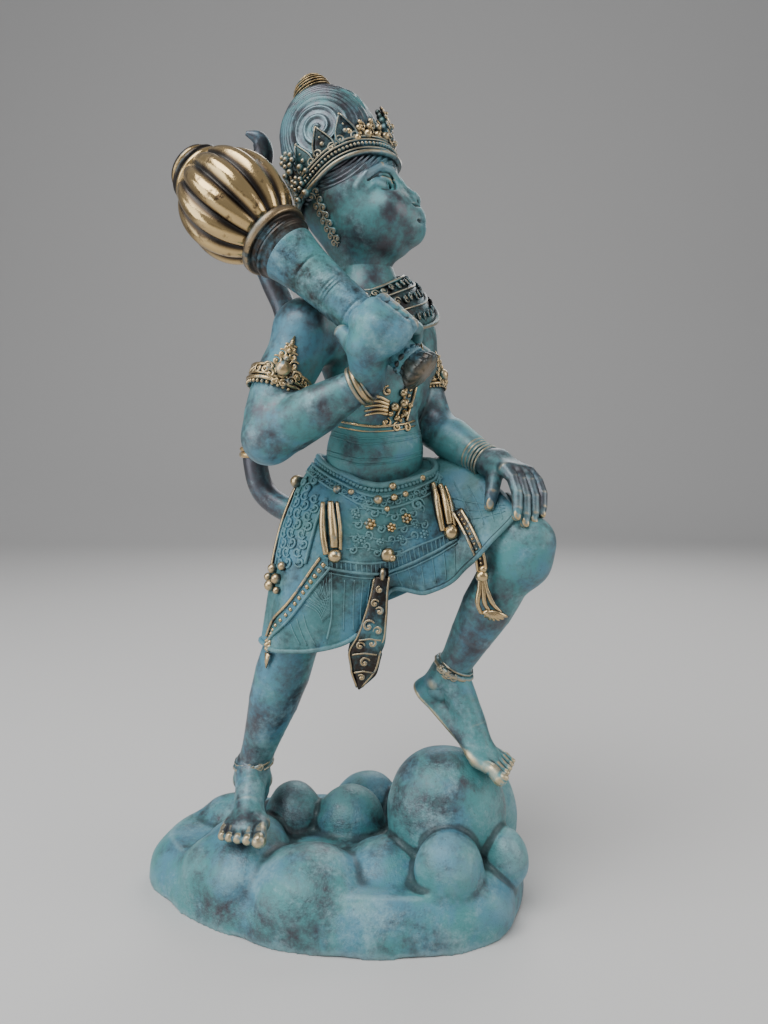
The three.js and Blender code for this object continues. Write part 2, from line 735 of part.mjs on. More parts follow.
function meshOf(name, piece, material) {
  const { numProp, vertProperties, triVerts } = piece.getMesh();
  const geometry = new THREE.BufferGeometry();
  const count = vertProperties.length / numProp;
  const position = new Float32Array(count * 3);
  for (let i = 0; i < count; i++) {
    position.set(vertProperties.subarray(i * numProp, i * numProp + 3), i * 3);
  }
  geometry.setAttribute("position", new THREE.BufferAttribute(position, 3));
  geometry.setIndex(new THREE.BufferAttribute(triVerts, 1));
  geometry.computeVertexNormals();
  const mesh = new THREE.Mesh(geometry, material);
  mesh.name = name;
  return mesh;
}

const statue = new THREE.Group();
statue.add(meshOf("figure", castFigure(), BRONZE_PATINA));
statue.add(meshOf("rock_base", rockBase(), ROCK_PATINA));

export default statue;
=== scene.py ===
import bpy
import numpy as np
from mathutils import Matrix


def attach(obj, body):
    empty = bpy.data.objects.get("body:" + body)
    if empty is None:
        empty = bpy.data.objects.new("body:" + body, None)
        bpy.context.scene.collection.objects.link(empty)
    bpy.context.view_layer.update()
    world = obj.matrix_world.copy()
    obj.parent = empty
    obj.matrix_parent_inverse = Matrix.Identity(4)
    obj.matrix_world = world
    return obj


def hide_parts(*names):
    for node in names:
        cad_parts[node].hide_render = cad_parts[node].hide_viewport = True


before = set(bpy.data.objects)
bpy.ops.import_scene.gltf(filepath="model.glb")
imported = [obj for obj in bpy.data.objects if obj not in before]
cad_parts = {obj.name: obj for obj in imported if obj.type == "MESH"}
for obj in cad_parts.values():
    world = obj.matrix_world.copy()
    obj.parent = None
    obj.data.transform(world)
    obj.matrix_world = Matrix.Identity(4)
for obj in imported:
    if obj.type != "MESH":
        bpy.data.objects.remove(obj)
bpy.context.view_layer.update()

import openvdb
from mathutils.bvhtree import BVHTree

# The view of the photograph
# A phone held 300 mm in front of the statue, a little above its belt, tipped down by four degrees and a half.
CAMERA_AT = (0.015, -0.300, 0.166)
CAMERA_PITCH = 4.44
LENS_MM = 28.4

camera_data = bpy.data.cameras.new("view")
camera_data.sensor_fit = "VERTICAL"
camera_data.sensor_height = 36.0
camera_data.lens = LENS_MM
camera_data.clip_start = 0.01
camera = bpy.data.objects.new("view", camera_data)
camera.location = CAMERA_AT
camera.rotation_euler = (np.radians(90 - CAMERA_PITCH), 0, 0)
bpy.context.scene.collection.objects.link(camera)
bpy.context.scene.camera = camera


# The studio: a pale floor with a softly bent back, one wide soft lamp above and two weak fills
def area_lamp(name, at, aim, size, power, colour=(1, 1, 1)):
    """A square soft box at a place, turned to look at a point."""
    data = bpy.data.lights.new(name, "AREA")
    data.size = size
    data.energy = power
    data.color = colour
    lamp = bpy.data.objects.new(name, data)
    lamp.location = at
    direction = np.array(aim) - np.array(at)
    horizontal = np.hypot(direction[0], direction[1])
    lamp.rotation_euler = (np.arctan2(horizontal, -direction[2]), 0, np.arctan2(-direction[0], direction[1]))
    bpy.context.scene.collection.objects.link(lamp)


area_lamp("lamp_above", (-0.35, -0.45, 0.95), (0, 0, 0.14), 0.7, 9.0)
area_lamp("lamp_left", (-0.75, -0.35, 0.35), (0, 0, 0.16), 0.6, 3.2, (0.93, 0.97, 1.0))
area_lamp("lamp_right", (0.8, -0.25, 0.45), (0, 0, 0.16), 0.6, 2.6, (1.0, 0.97, 0.93))
area_lamp("lamp_behind", (0.2, 0.75, 0.7), (0, 0, 0.15), 0.6, 3.0)
world = bpy.data.worlds.new("room")
world.use_nodes = True
world.node_tree.nodes["Background"].inputs["Color"].default_value = (0.8, 0.82, 0.85, 1)
world.node_tree.nodes["Background"].inputs["Strength"].default_value = 0.42
bpy.context.scene.world = world

# The floor runs back and bends up into the wall in one curve, as a sheet of paper does
FLOOR_DEPTH = 1.1
BEND_RADIUS = 0.6
floor_angles = np.radians(np.linspace(0, 90, 24))
floor_profile = np.concatenate([
    [[-2.5, 0]],
    np.stack([FLOOR_DEPTH + BEND_RADIUS * np.sin(floor_angles),
              BEND_RADIUS * (1 - np.cos(floor_angles))], 1),
    [[FLOOR_DEPTH + BEND_RADIUS, 3.0]],
])
floor_mesh = bpy.data.meshes.new("floor")
floor_points = [(x, y, z) for x in (-4.0, 4.0) for y, z in floor_profile]
floor_count = len(floor_profile)
floor_mesh.from_pydata(floor_points, [], [
    (i, i + floor_count, i + floor_count + 1, i + 1) for i in range(floor_count - 1)])
floor_mesh.polygons.foreach_set("use_smooth", [True] * (floor_count - 1))
floor = bpy.data.objects.new("floor", floor_mesh)
bpy.context.scene.collection.objects.link(floor)
floor_paint = bpy.data.materials.new("floor_paint")
floor_paint.use_nodes = True
floor_shader = floor_paint.node_tree.nodes["Principled BSDF"]
floor_shader.inputs["Base Color"].default_value = (0.62, 0.61, 0.60, 1)
floor_shader.inputs["Roughness"].default_value = 0.85
floor_mesh.materials.append(floor_paint)


# The patina of the whole statue
# Dark bronze under turquoise and pale blue salts and a thin coat of wax, with painted near-black shade in its hollows
# and a painted pale highlight on what stands out, where it is also rubbed to bare gold.
# The piece's own attribute of wear and painted light says how far a point stands out, from 0 in a hollow to 1 on an
# edge.
def patina(name, dark=(0.085, 0.085, 0.100), green=(0.070, 0.255, 0.265), blue=(0.075, 0.235, 0.320),
           pale=(0.30, 0.47, 0.52), painted_hollow_shade=(0.016, 0.018, 0.020), gold=(0.62, 0.42, 0.19), cover=0.5, powder=0.35,
           rub=(0.72, 0.90), shine=0.34, spots=1.0, grit=0.0, gold_cover=1.0):
    """Mixes, from the bottom up: dark metal, green and blue salts where a sum of slow and fine noises is high,
    pale powder in clouds, a painted pale highlight on heights, painted near-black shade in hollows, dark specks,
    and bare gold where wear passes rub."""
    material = bpy.data.materials.new(name)
    material.use_nodes = True
    tree = material.node_tree
    shader = tree.nodes["Principled BSDF"]
    link = tree.links.new
    coordinates = tree.nodes.new("ShaderNodeTexCoord")
    wear = tree.nodes.new("ShaderNodeAttribute")
    wear.attribute_name = "wear"

    def noise(scale, detail=4, distortion=0.0, rough=0.6):
        node = tree.nodes.new("ShaderNodeTexNoise")
        node.inputs["Scale"].default_value = scale
        node.inputs["Detail"].default_value = detail
        node.inputs["Roughness"].default_value = rough
        node.inputs["Distortion"].default_value = distortion
        link(coordinates.outputs["Object"], node.inputs["Vector"])
        return node.outputs["Fac"]

    def ramp(value, low, high):
        node = tree.nodes.new("ShaderNodeMapRange")
        node.interpolation_type = "SMOOTHSTEP"
        link(value, node.inputs["Value"])
        node.inputs["From Min"].default_value = low
        node.inputs["From Max"].default_value = high
        return node.outputs["Result"]

    def maths(kind, first, second):
        node = tree.nodes.new("ShaderNodeMath")
        node.operation = kind
        node.use_clamp = True
        for socket, value in zip(node.inputs, (first, second)):
            if isinstance(value, float):
                socket.default_value = value
            else:
                link(value, socket)
        return node.outputs["Value"]

    def layer(share, below, colour):
        node = tree.nodes.new("ShaderNodeMix")
        node.data_type = "RGBA"
        link(share, node.inputs["Factor"])
        for socket, value in ((node.inputs[6], below), (node.inputs[7], colour)):
            if isinstance(value, tuple):
                socket.default_value = (*value, 1)
            else:
                link(value, socket)
        return node.outputs[2]

    patches = maths("ADD", maths("MULTIPLY", noise(34, 3), 0.46), maths("MULTIPLY", noise(110, 5, 0.4, 0.6), 0.32))
    patches = maths("ADD", patches, maths("MULTIPLY", noise(520, 4, 0.0, 0.7), 0.22))
    green_share = ramp(patches, 0.53 - cover * 0.22, 0.72 - cover * 0.22)
    clouds = maths("ADD", maths("MULTIPLY", noise(58, 5, 0.7, 0.62), 0.66), maths("MULTIPLY", noise(640, 5, 0.0, 0.7), 0.34))
    powder_share = ramp(clouds, 0.58 - powder * 0.22, 0.86 - powder * 0.22)
    blue_share = ramp(noise(45, 4, 0.3), 0.44, 0.62)
    specks = ramp(noise(1100, 3), 0.62, 0.76)
    # Painted shade: this mask darkens the hollows to near black.
    painted_shade_in_hollows = ramp(wear.outputs["Fac"], 0.44, 0.16)
    # Painted highlight: this mask paints the heights pale.
    height = ramp(wear.outputs["Fac"], 0.56, 0.9)
    colour = layer(green_share, dark, layer(blue_share, green, blue))
    colour = layer(maths("MULTIPLY", powder_share, 0.8), colour, pale)
    # Painted highlight: pale on the heights.
    colour = layer(maths("MULTIPLY", height, 0.35), colour, pale)
    # Painted shade: near black in the hollows.
    colour = layer(maths("MULTIPLY", painted_shade_in_hollows, 0.75), colour, painted_hollow_shade)
    colour = layer(maths("MULTIPLY", specks, spots * 0.6), colour, tuple(channel * 0.6 for channel in dark))
    gold_share = maths("MULTIPLY", ramp(wear.outputs["Fac"], *rub), gold_cover)
    gold_share = maths("MULTIPLY", gold_share, ramp(noise(300, 4), 0.28, 0.46))
    colour = layer(gold_share, colour, gold)
    link(colour, shader.inputs["Base Color"])

    salts = maths("MAXIMUM", green_share, powder_share)
    metal = maths("SUBTRACT", 0.9, maths("MULTIPLY", salts, 0.7))
    metal = maths("MAXIMUM", metal, gold_share)
    link(metal, shader.inputs["Metallic"])
    rough = maths("ADD", maths("ADD", maths("MULTIPLY", salts, 0.22), shine), maths("MULTIPLY", noise(500, 3), 0.12))
    link(maths("SUBTRACT", rough, maths("MULTIPLY", gold_share, 0.14)), shader.inputs["Roughness"])
    shader.inputs["Coat Weight"].default_value = 0.25
    shader.inputs["Coat Roughness"].default_value = 0.3

    bump = tree.nodes.new("ShaderNodeBump")
    bump.inputs["Strength"].default_value = 0.25 + grit
    bump.inputs["Distance"].default_value = 0.0004
    grain = maths("ADD", maths("MULTIPLY", noise(420, 5), 0.7), maths("MULTIPLY", noise(1500, 2), 0.3 + grit))
    link(grain, bump.inputs["Height"])
    link(bump.outputs["Normal"], shader.inputs["Normal"])
    return material


# What the sculptor models in clay before it is cast: smooth bodies that run into each other
def turn_about_z(degrees):
    """Rotation matrix about the vertical."""
    angle = np.radians(degrees)
    return np.array([[np.cos(angle), -np.sin(angle), 0], [np.sin(angle), np.cos(angle), 0], [0, 0, 1]])


def turn_about_x(degrees):
    """Rotation matrix about the sideways axis."""
    angle = np.radians(degrees)
    return np.array([[1, 0, 0], [0, np.cos(angle), -np.sin(angle)], [0, np.sin(angle), np.cos(angle)]])


class Place:
    """The frame of a part of the body: points given as how far to its left, to its front and up."""

    def __init__(self, at, turn=0.0, lift=0.0):
        self.at = np.array(at, float)
        self.turning = turn_about_z(turn) @ turn_about_x(-lift)

    def point(self, left, front, up):
        return self.at + self.turning @ np.array([left, -front, up])

    def points(self, rows):
        rows = np.asarray(rows, float)
        return self.at + (rows * [1, -1, 1]) @ self.turning.T


class Clay:
    """A block of clay as a field of distances in millimetres on a grid: negative inside, smooth where forms join."""

    def __init__(self, low, high, cell):
        self.low = np.array(low, float)
        self.cell = cell
        self.count = np.ceil((np.array(high, float) - self.low) / cell).astype(int) + 1
        self.field = np.full(self.count, 6.0, np.float32)

    def window(self, low, high):
        """The part of the grid between two corners, and its x, y and z as open arrays."""
        first = np.clip(((low - self.low) / self.cell).astype(int) - 1, 0, self.count)
        last = np.clip(((high - self.low) / self.cell).astype(int) + 2, 0, self.count)
        part = tuple(slice(a, b) for a, b in zip(first, last))
        x, y, z = (self.low[axis] + self.cell * np.arange(first[axis], last[axis]) for axis in range(3))
        return part, x[:, None, None].astype(np.float32), y[None, :, None].astype(np.float32), \
            z[None, None, :].astype(np.float32)

    def join(self, part, distance, blend):
        """Smooth union: the smaller distance, rounded where the two are within blend of each other."""
        old = self.field[part]
        near = np.clip(blend - np.abs(old - distance), 0, None) / blend
        self.field[part] = np.minimum(old, distance) - near * near * blend / 4

    def carve(self, part, distance, blend):
        """Smooth cut: the larger of the field and the inverted distance, rounded in the same way."""
        old = self.field[part]
        near = np.clip(blend - np.abs(old + distance), 0, None) / blend
        self.field[part] = np.maximum(old, -distance) + near * near * blend / 4

    def ball(self, at, radii, place=None, blend=2.0, cut=False):
        """An ellipsoid: how far a point is out of it, from its radii along the three axes of its place."""
        radii = np.broadcast_to(np.asarray(radii, float), 3)
        turning = np.eye(3) if place is None else place.turning
        centre = np.asarray(at, float) if place is None else place.point(*at)
        reach = radii.max() + blend + 2
        part, x, y, z = self.window(centre - reach, centre + reach)
        offset = [x - centre[0], y - centre[1], z - centre[2]]
        local = [sum(turning[axis, row] * offset[axis] for axis in range(3)) for row in range(3)]
        scaled = sum((local[row] / radii[row]) ** 2 for row in range(3))
        steep = sum((local[row] / radii[row] ** 2) ** 2 for row in range(3))
        length = np.sqrt(scaled)
        distance = length * (length - 1) / np.sqrt(np.maximum(steep, 1e-9))
        (self.carve if cut else self.join)(part, distance.astype(np.float32), blend)

    def limb(self, points, radii, blend=2.0, cut=False, flat=1.0, across=(0, 0, 1)):
        """A chain of cones with round ends through points, with a radius at each; flat squeezes it across."""
        points = np.asarray(points, float)
        radii = np.broadcast_to(np.asarray(radii, float), len(points))
        reach = radii.max() + blend + 2
        part, x, y, z = self.window(points.min(0) - reach, points.max(0) + reach)
        distance = np.full(np.broadcast_shapes(x.shape, y.shape, z.shape), 99.0, np.float32)
        squeeze = np.asarray(across, float) / np.linalg.norm(across) * (1 / flat - 1)
        for start, end, first, last in zip(points[:-1], points[1:], radii[:-1], radii[1:]):
            axis = end - start
            offset = [x - start[0], y - start[1], z - start[2]]
            share = sum(offset[i] * axis[i] for i in range(3)) / max(axis @ axis, 1e-9)
            share = np.clip(share, 0, 1)
            away = [offset[i] - axis[i] * share for i in range(3)]
            if flat != 1.0:
                aside = sum(away[i] * squeeze[i] for i in range(3))
                unit = np.asarray(across, float) / np.linalg.norm(across)
                away = [away[i] + unit[i] * aside for i in range(3)]
            gone = np.sqrt(sum(part_away ** 2 for part_away in away))
            distance = np.minimum(distance, gone - (first + (last - first) * share))
        (self.carve if cut else self.join)(part, distance, blend)

    def roughen(self, amount, sizes, seed):
        """Adds slow waves in all directions, as the surface of a wax model has."""
        draw = np.random.default_rng(seed)
        part, x, y, z = self.window(self.low, self.low + self.cell * self.count)
        for size in sizes:
            for _ in range(5):
                wave = draw.normal(size=3)
                wave *= 2 * np.pi / size / np.linalg.norm(wave)
                phase = wave[0] * x + wave[1] * y + wave[2] * z + draw.uniform(0, 6.28)
                self.field[part] += np.float32(amount * size / sizes[0] / 5) * np.sin(phase)

    def mesh(self, name):
        """The surface where the distance is nought, as quads."""
        grid = openvdb.FloatGrid(6.0)
        grid.copyFromArray(self.field)
        grid.transform = openvdb.createLinearTransform(voxelSize=self.cell)
        points, triangles, quads = grid.convertToPolygons(isovalue=0.0, adaptivity=0.0)
        return new_piece(name, points + self.low, quads, triangles)


def new_piece(name, points, quads, triangles=()):
    """Makes a smooth mesh object from points in millimetres, four-sided and three-sided faces."""
    quads = np.asarray(quads, np.int32).reshape(-1, 4)
    triangles = np.asarray(triangles, np.int32).reshape(-1, 3)
    mesh = bpy.data.meshes.new(name)
    mesh.vertices.add(len(points))
    mesh.vertices.foreach_set("co", (np.asarray(points, np.float64) * 0.001).astype(np.float32).ravel())
    corners = np.concatenate([quads.ravel(), triangles.ravel()])
    sizes = np.concatenate([np.full(len(quads), 4), np.full(len(triangles), 3)]).astype(np.int32)
    mesh.loops.add(len(corners))
    mesh.loops.foreach_set("vertex_index", corners)
    mesh.polygons.add(len(sizes))
    mesh.polygons.foreach_set("loop_start", np.concatenate([[0], np.cumsum(sizes)[:-1]]).astype(np.int32))
    mesh.polygons.foreach_set("use_smooth", np.ones(len(sizes), bool))
    mesh.update(calc_edges=True)
    mesh.validate()
    piece = bpy.data.objects.new(name, mesh)
    bpy.context.scene.collection.objects.link(piece)
    return piece


def mark_wear_and_painted_light(piece, scale=0.35, rounds=3, bias=0.5):
    """Stores how far each point stands out: its height over the mean of its neighbours along its normal,
    smoothed a few rounds, divided by scale in millimetres and moved so that a flat place has the bias.
    The patina paints near-black shade where it is low, a pale highlight where it is high, and rubbed gold at the top."""
    mesh = piece.data
    count = len(mesh.vertices)
    points = np.empty(count * 3, np.float32)
    mesh.vertices.foreach_get("co", points)
    points = points.reshape(-1, 3) * 1000
    normals = np.empty(count * 3, np.float32)
    mesh.vertices.foreach_get("normal", normals)
    normals = normals.reshape(-1, 3)
    edges = np.empty(len(mesh.edges) * 2, np.int32)
    mesh.edges.foreach_get("vertices", edges)
    first, second = edges.reshape(-1, 2).T
    degree = np.maximum(np.bincount(first, minlength=count) + np.bincount(second, minlength=count), 1)

    def neighbours(values):
        return (np.bincount(first, values[second], count) + np.bincount(second, values[first], count)) / degree

    smooth = points.copy()
    for _ in range(rounds):
        smooth = np.stack([neighbours(smooth[:, axis]) for axis in range(3)], 1)
    out = np.einsum("ij,ij->i", points - smooth, normals)
    out = (out + neighbours(out)) / 2
    wear = np.clip(bias + out / scale, 0, 1)
    attribute = mesh.attributes.new("wear", "FLOAT", "POINT")
    attribute.data.foreach_set("value", wear.astype(np.float32))


def dress(piece, node, material):
    """Puts the material on, hangs the piece under the root of the frame and hides the imported part that it stands for.
    """
    piece.data.materials.clear()
    piece.data.materials.append(material)
    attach(piece, "root")
    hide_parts(node)
    return piece


# The rocks
# One casting: a granular apron with an oval outline, and boulders that sink into it.
# The whole is cut flat underneath and rests on it.
BOULDERS = [
    # middle, half sizes, turn
    ((-12, -26, 9), (22, 19, 17.5), 4),
    ((-49, -15, 12), (10, 11, 12), 20),
    ((-66, 3, 4), (9, 12, 11), 0),
    ((-37, -10, 14), (17, 24, 14.6), 0),
    ((38, -8, 32), (22, 19, 24), 0),
    ((37.5, -31, 21), (12, 11, 13), 0),
    ((59, -20, 19), (8, 9, 11), 0),
    ((-21, 15, 18), (11.5, 12, 15), 0),
    ((1.5, 12, 17), (14, 13, 15), 10),
    ((8, 33, 15), (15, 12, 14), 0),
    ((59, 14, 20), (9, 14, 17), 0),
    ((33, 26, 16), (17, 14, 17), 0),
    ((-44, 22, 13), (16, 13, 12), 0),
    ((16, -18, 10), (17, 18, 15), 0),
    ((45, -28, 7), (16, 14, 12), 0),
]
APRON_OUTLINE = [(-76, 6), (-67, -12), (-50, -28), (-16, -45), (14, -49), (44, -44), (62, -27), (68, 2),
                 (61, 28), (34, 45), (-4, 49), (-46, 40), (-70, 24)]


def round_curve(points, count, closed=False):
    """A smooth curve through points (centripetal Catmull-Rom), sampled evenly in parameter."""
    points = np.asarray(points, float)
    if closed:
        padded = np.concatenate([points[-1:], points, points[:2]])
    else:
        padded = np.concatenate([2 * points[:1] - points[1:2], points, 2 * points[-1:] - points[-2:-1]])
    knots = np.concatenate([[0], np.cumsum(np.sqrt(np.linalg.norm(np.diff(padded[:, :3], axis=0), axis=1)) + 1e-6)])
    at = np.linspace(knots[1], knots[-2], count, endpoint=not closed)
    span = np.clip(np.searchsorted(knots, at, side="right") - 1, 1, len(padded) - 3)
    t0, t1, t2, t3 = (knots[span + i][:, None] for i in (-1, 0, 1, 2))
    p0, p1, p2, p3 = (padded[span + i] for i in (-1, 0, 1, 2))
    t = at[:, None]
    a1 = (t1 - t) / (t1 - t0) * p0 + (t - t0) / (t1 - t0) * p1
    a2 = (t2 - t) / (t2 - t1) * p1 + (t - t1) / (t2 - t1) * p2
    a3 = (t3 - t) / (t3 - t2) * p2 + (t - t2) / (t3 - t2) * p3
    b1 = (t2 - t) / (t2 - t0) * a1 + (t - t0) / (t2 - t0) * a2
    b2 = (t3 - t) / (t3 - t1) * a2 + (t - t1) / (t3 - t1) * a3
    return (t2 - t) / (t2 - t1) * b1 + (t - t1) / (t2 - t1) * b2


def apron(clay):
    """Distance to a low mound: how far out of the oval outline a point is, less the more the higher it lies."""
    outline = round_curve(APRON_OUTLINE, 160, closed=True)
    angles = np.arctan2(outline[:, 1], outline[:, 0])
    order = np.argsort(angles)
    radii = np.linalg.norm(outline, axis=1)
    part, x, y, z = clay.window(clay.low, clay.low + clay.cell * clay.count)
    edge = np.interp(np.arctan2(y, x), angles[order], radii[order], period=2 * np.pi)
    inward = np.hypot(x, y) - edge
    slope = inward + 0.012 * np.clip(z, 0, None) ** 2.3
    distance = np.maximum(np.maximum(slope * 0.75, z - 17), -z + inward * 0)
    clay.join(part, distance.astype(np.float32), 4.0)


rocks = Clay((-80, -53, -2.4), (74, 54, 60), 0.8)
apron(rocks)
for middle, sizes, turn in BOULDERS:
    boulder_place = Place(middle, turn)
    rocks.ball((0, 0, 0), sizes, boulder_place, blend=3.2)
rocks.roughen(0.7, (30, 17, 9), 4)
rocks.field = np.maximum(rocks.field, -(rocks.low[2] + rocks.cell * np.arange(rocks.count[2]))[None, None, :])
rock_piece = rocks.mesh("boulders")
mark_wear_and_painted_light(rock_piece, scale=0.5, rounds=6)
rock_patina = patina("patina_on_rocks", cover=0.75, powder=0.5, rub=(0.95, 1.3), grit=0.5)
dress(rock_piece, "rock_base", rock_patina)

# The bare body
# Cast in one with everything it wears: chest, belly, arms and legs of dark bronze, smooth under mottled patina.
PELVIS = Place((9, 0, 140), 38)
CHEST = Place((13, 0, 191), 48)
NECK = np.array([9, 3, 221])
HEAD = Place((3.3, 2, 256.6), 75, 22)
RIGHT_SHOULDER = np.array([-12, -19, 206])
RIGHT_ELBOW = np.array([-23.6, -28, 169.8])
RIGHT_WRIST = np.array([10, -40, 188])
LEFT_SHOULDER = np.array([25.5, 18, 211])
LEFT_ELBOW = np.array([35, 9, 173.5])
LEFT_WRIST = np.array([52, -9, 161.5])
RIGHT_KNEE = np.array([-17, -7, 101])
RIGHT_ANKLE = np.array([-35.5, 2, 44])
LEFT_KNEE = np.array([65, -18, 135])
LEFT_ANKLE = np.array([40, -3, 83])


def between(start, end, share):
    """The point a share of the way from start to end."""
    return np.asarray(start) + (np.asarray(end) - np.asarray(start)) * share


torso = Clay((-36, -52, 128), (64, 36, 242), 0.6)
torso.ball((0, 0, 4), (19.5, 15.6, 17), PELVIS, 4)
torso.ball((0, 0, 0), (19, 14.6, 19), Place((11, 0, 164), 45), 6)
torso.ball((0, 0, -1), (22.4, 15.4, 20), CHEST, 6)
torso.ball((0, -1, 17), (21, 12.6, 13), CHEST, 6)
for side in (-1, 1):
    torso.ball((side * 9.5, 9.5, 6), (9.5, 7, 7.5), CHEST, 3)
    torso.ball((side * 11, -9, 10), (9, 6.5, 11), CHEST, 4)
torso.ball((0, 8.6, -25), (12, 6.6, 13), CHEST, 5)
torso.limb([NECK + [0, 0, -8], NECK + [-0.5, 0, 4], between(NECK, HEAD.at, 0.6)], (14, 10.6, 9.6), 7)
torso.limb([LEFT_SHOULDER + [-8, -6, 2], NECK + [0, 0, 2]], (8, 8), 7)
torso.limb([RIGHT_SHOULDER + [9, 8, 2], NECK + [0, 0, 2]], (8, 8), 7)
upper_right = [between(RIGHT_SHOULDER, RIGHT_ELBOW, share) + [-bow, 0, 0]
               for share, bow in ((0, 0), (0.25, 0.4), (0.5, 2), (0.8, 1.4), (1, 0))]
torso.limb([RIGHT_SHOULDER + [9, 8, 1], RIGHT_SHOULDER + [0, 0, 1]], (10, 10.6), 5)
torso.limb(upper_right, (10.2, 10, 9.7, 9.4, 9.0), 3)
torso.limb([between(RIGHT_ELBOW, RIGHT_WRIST, share) for share in (0, 0.22, 0.5, 0.8, 1)],
           (8.0, 8.9, 8.2, 6.2, 4.9), 3)
torso.limb([LEFT_SHOULDER + [-7, -6, 1], LEFT_SHOULDER + [0, 0, -2]], (10, 9), 5)
torso.limb([between(LEFT_SHOULDER, LEFT_ELBOW, share) for share in (0, 0.3, 0.6, 1)], (9, 7.8, 6.5, 7), 3)
torso.limb([between(LEFT_ELBOW, LEFT_WRIST, share) for share in (0, 0.3, 0.65, 1)], (7, 8.1, 6.8, 4.9), 3)
torso.roughen(0.10, (24, 12), 7)
body_patina = patina("patina_on_body", cover=0.62, powder=0.4, rub=(0.97, 1.2))
torso_piece = torso.mesh("torso_and_arms")
mark_wear_and_painted_light(torso_piece, scale=0.5, rounds=6)
dress(torso_piece, "figure", body_patina)


def unit(vector):
    """The vector at length one."""
    vector = np.asarray(vector, float)
    return vector / np.linalg.norm(vector, axis=-1, keepdims=True)


def facing(at, front, up):
    """The place whose front and up point along two directions."""
    place = Place(at)
    front = unit(front)
    left = unit(np.cross(up, front))
    place.turning = np.stack([left, -front, unit(np.cross(front, left))], 1)
    return place


# Legs, bare below the skirt
# The right one carries the weight and is nearly straight; the left is bent over the tall boulder.
legs = Clay((-52, -36, 30), (80, 26, 158), 0.6)
right_hip = PELVIS.point(-10, 0, 0)
left_hip = PELVIS.point(10, 0, 1)
legs.limb([right_hip, between(right_hip, RIGHT_KNEE, 0.5), RIGHT_KNEE + [0, 0, 2]], (12.5, 12.5, 10.6), 3)
legs.ball(RIGHT_KNEE + [2, -5, 1], (6, 5, 7), None, 4)
legs.limb([RIGHT_KNEE] + [between(RIGHT_KNEE, RIGHT_ANKLE, share) for share in (0.15, 0.32, 0.5, 0.7, 0.86)]
          + [RIGHT_ANKLE, RIGHT_ANKLE + [-0.4, 2, -9]], (10, 9.9, 10.2, 9.4, 7.6, 6.4, 6.0, 6.2), 3)
legs.limb([between(RIGHT_KNEE, RIGHT_ANKLE, 0.1) + [1, -7, 0], between(RIGHT_KNEE, RIGHT_ANKLE, 0.75) + [0, -4.4, 0]],
          (2.6, 2.2), 4)
legs.limb([left_hip, between(left_hip, LEFT_KNEE, 0.5), between(left_hip, LEFT_KNEE, 0.75), LEFT_KNEE + [-4, 2, 0]],
          (12, 10.4, 10.2, 10.8), 3)
legs.ball(LEFT_KNEE + [-1.5, 0.5, -7], (10.4, 10.4, 11), None, 4)
legs.ball(LEFT_KNEE + [2.2, -2.6, -1], (7.4, 7.6, 8), None, 4)
legs.limb([LEFT_KNEE + [-1.5, 0.5, -8]] + [between(LEFT_KNEE, LEFT_ANKLE, share) for share in (0.3, 0.5, 0.7, 0.88)]
          + [LEFT_ANKLE, LEFT_ANKLE + [-3.4, 1, -6]], (9.6, 9.6, 9.5, 8, 6.4, 6, 6), 3)
legs.roughen(0.10, (24, 12), 9)
legs_piece = legs.mesh("legs")
mark_wear_and_painted_light(legs_piece, scale=0.5, rounds=6)
dress(legs_piece, "figure", body_patina)

# Feet with spread toes; the nails and toe tips are rubbed to bare metal
SOLE_HEIGHT = 28
FEET = {
    "right_foot": dict(heel=(-36, 7, SOLE_HEIGHT + 5), ankle=RIGHT_ANKLE, ball=(-34.5, -20, SOLE_HEIGHT + 3.2),
                       tip=(-34.5, -29, SOLE_HEIGHT + 2.4), across=(-1, 0, 0), up=(0, 0, 1)),
    "left_foot": dict(heel=(30.6, 2.2, 72.4), ankle=LEFT_ANKLE, ball=(52.5, -14, 54),
                      tip=(59.5, -19, 50.5), across=(0.6, 0.8, 0), up=(0.55, -0.35, 0.75)),
}
TOE_OFFSETS = (-6.0, -1.9, 1.5, 4.6, 7.3)
TOE_RADII = (2.6, 1.9, 1.8, 1.7, 1.6)
foot_patina = patina("patina_on_feet", cover=0.6, powder=0.45, rub=(0.60, 0.80), gold=(0.60, 0.50, 0.32))


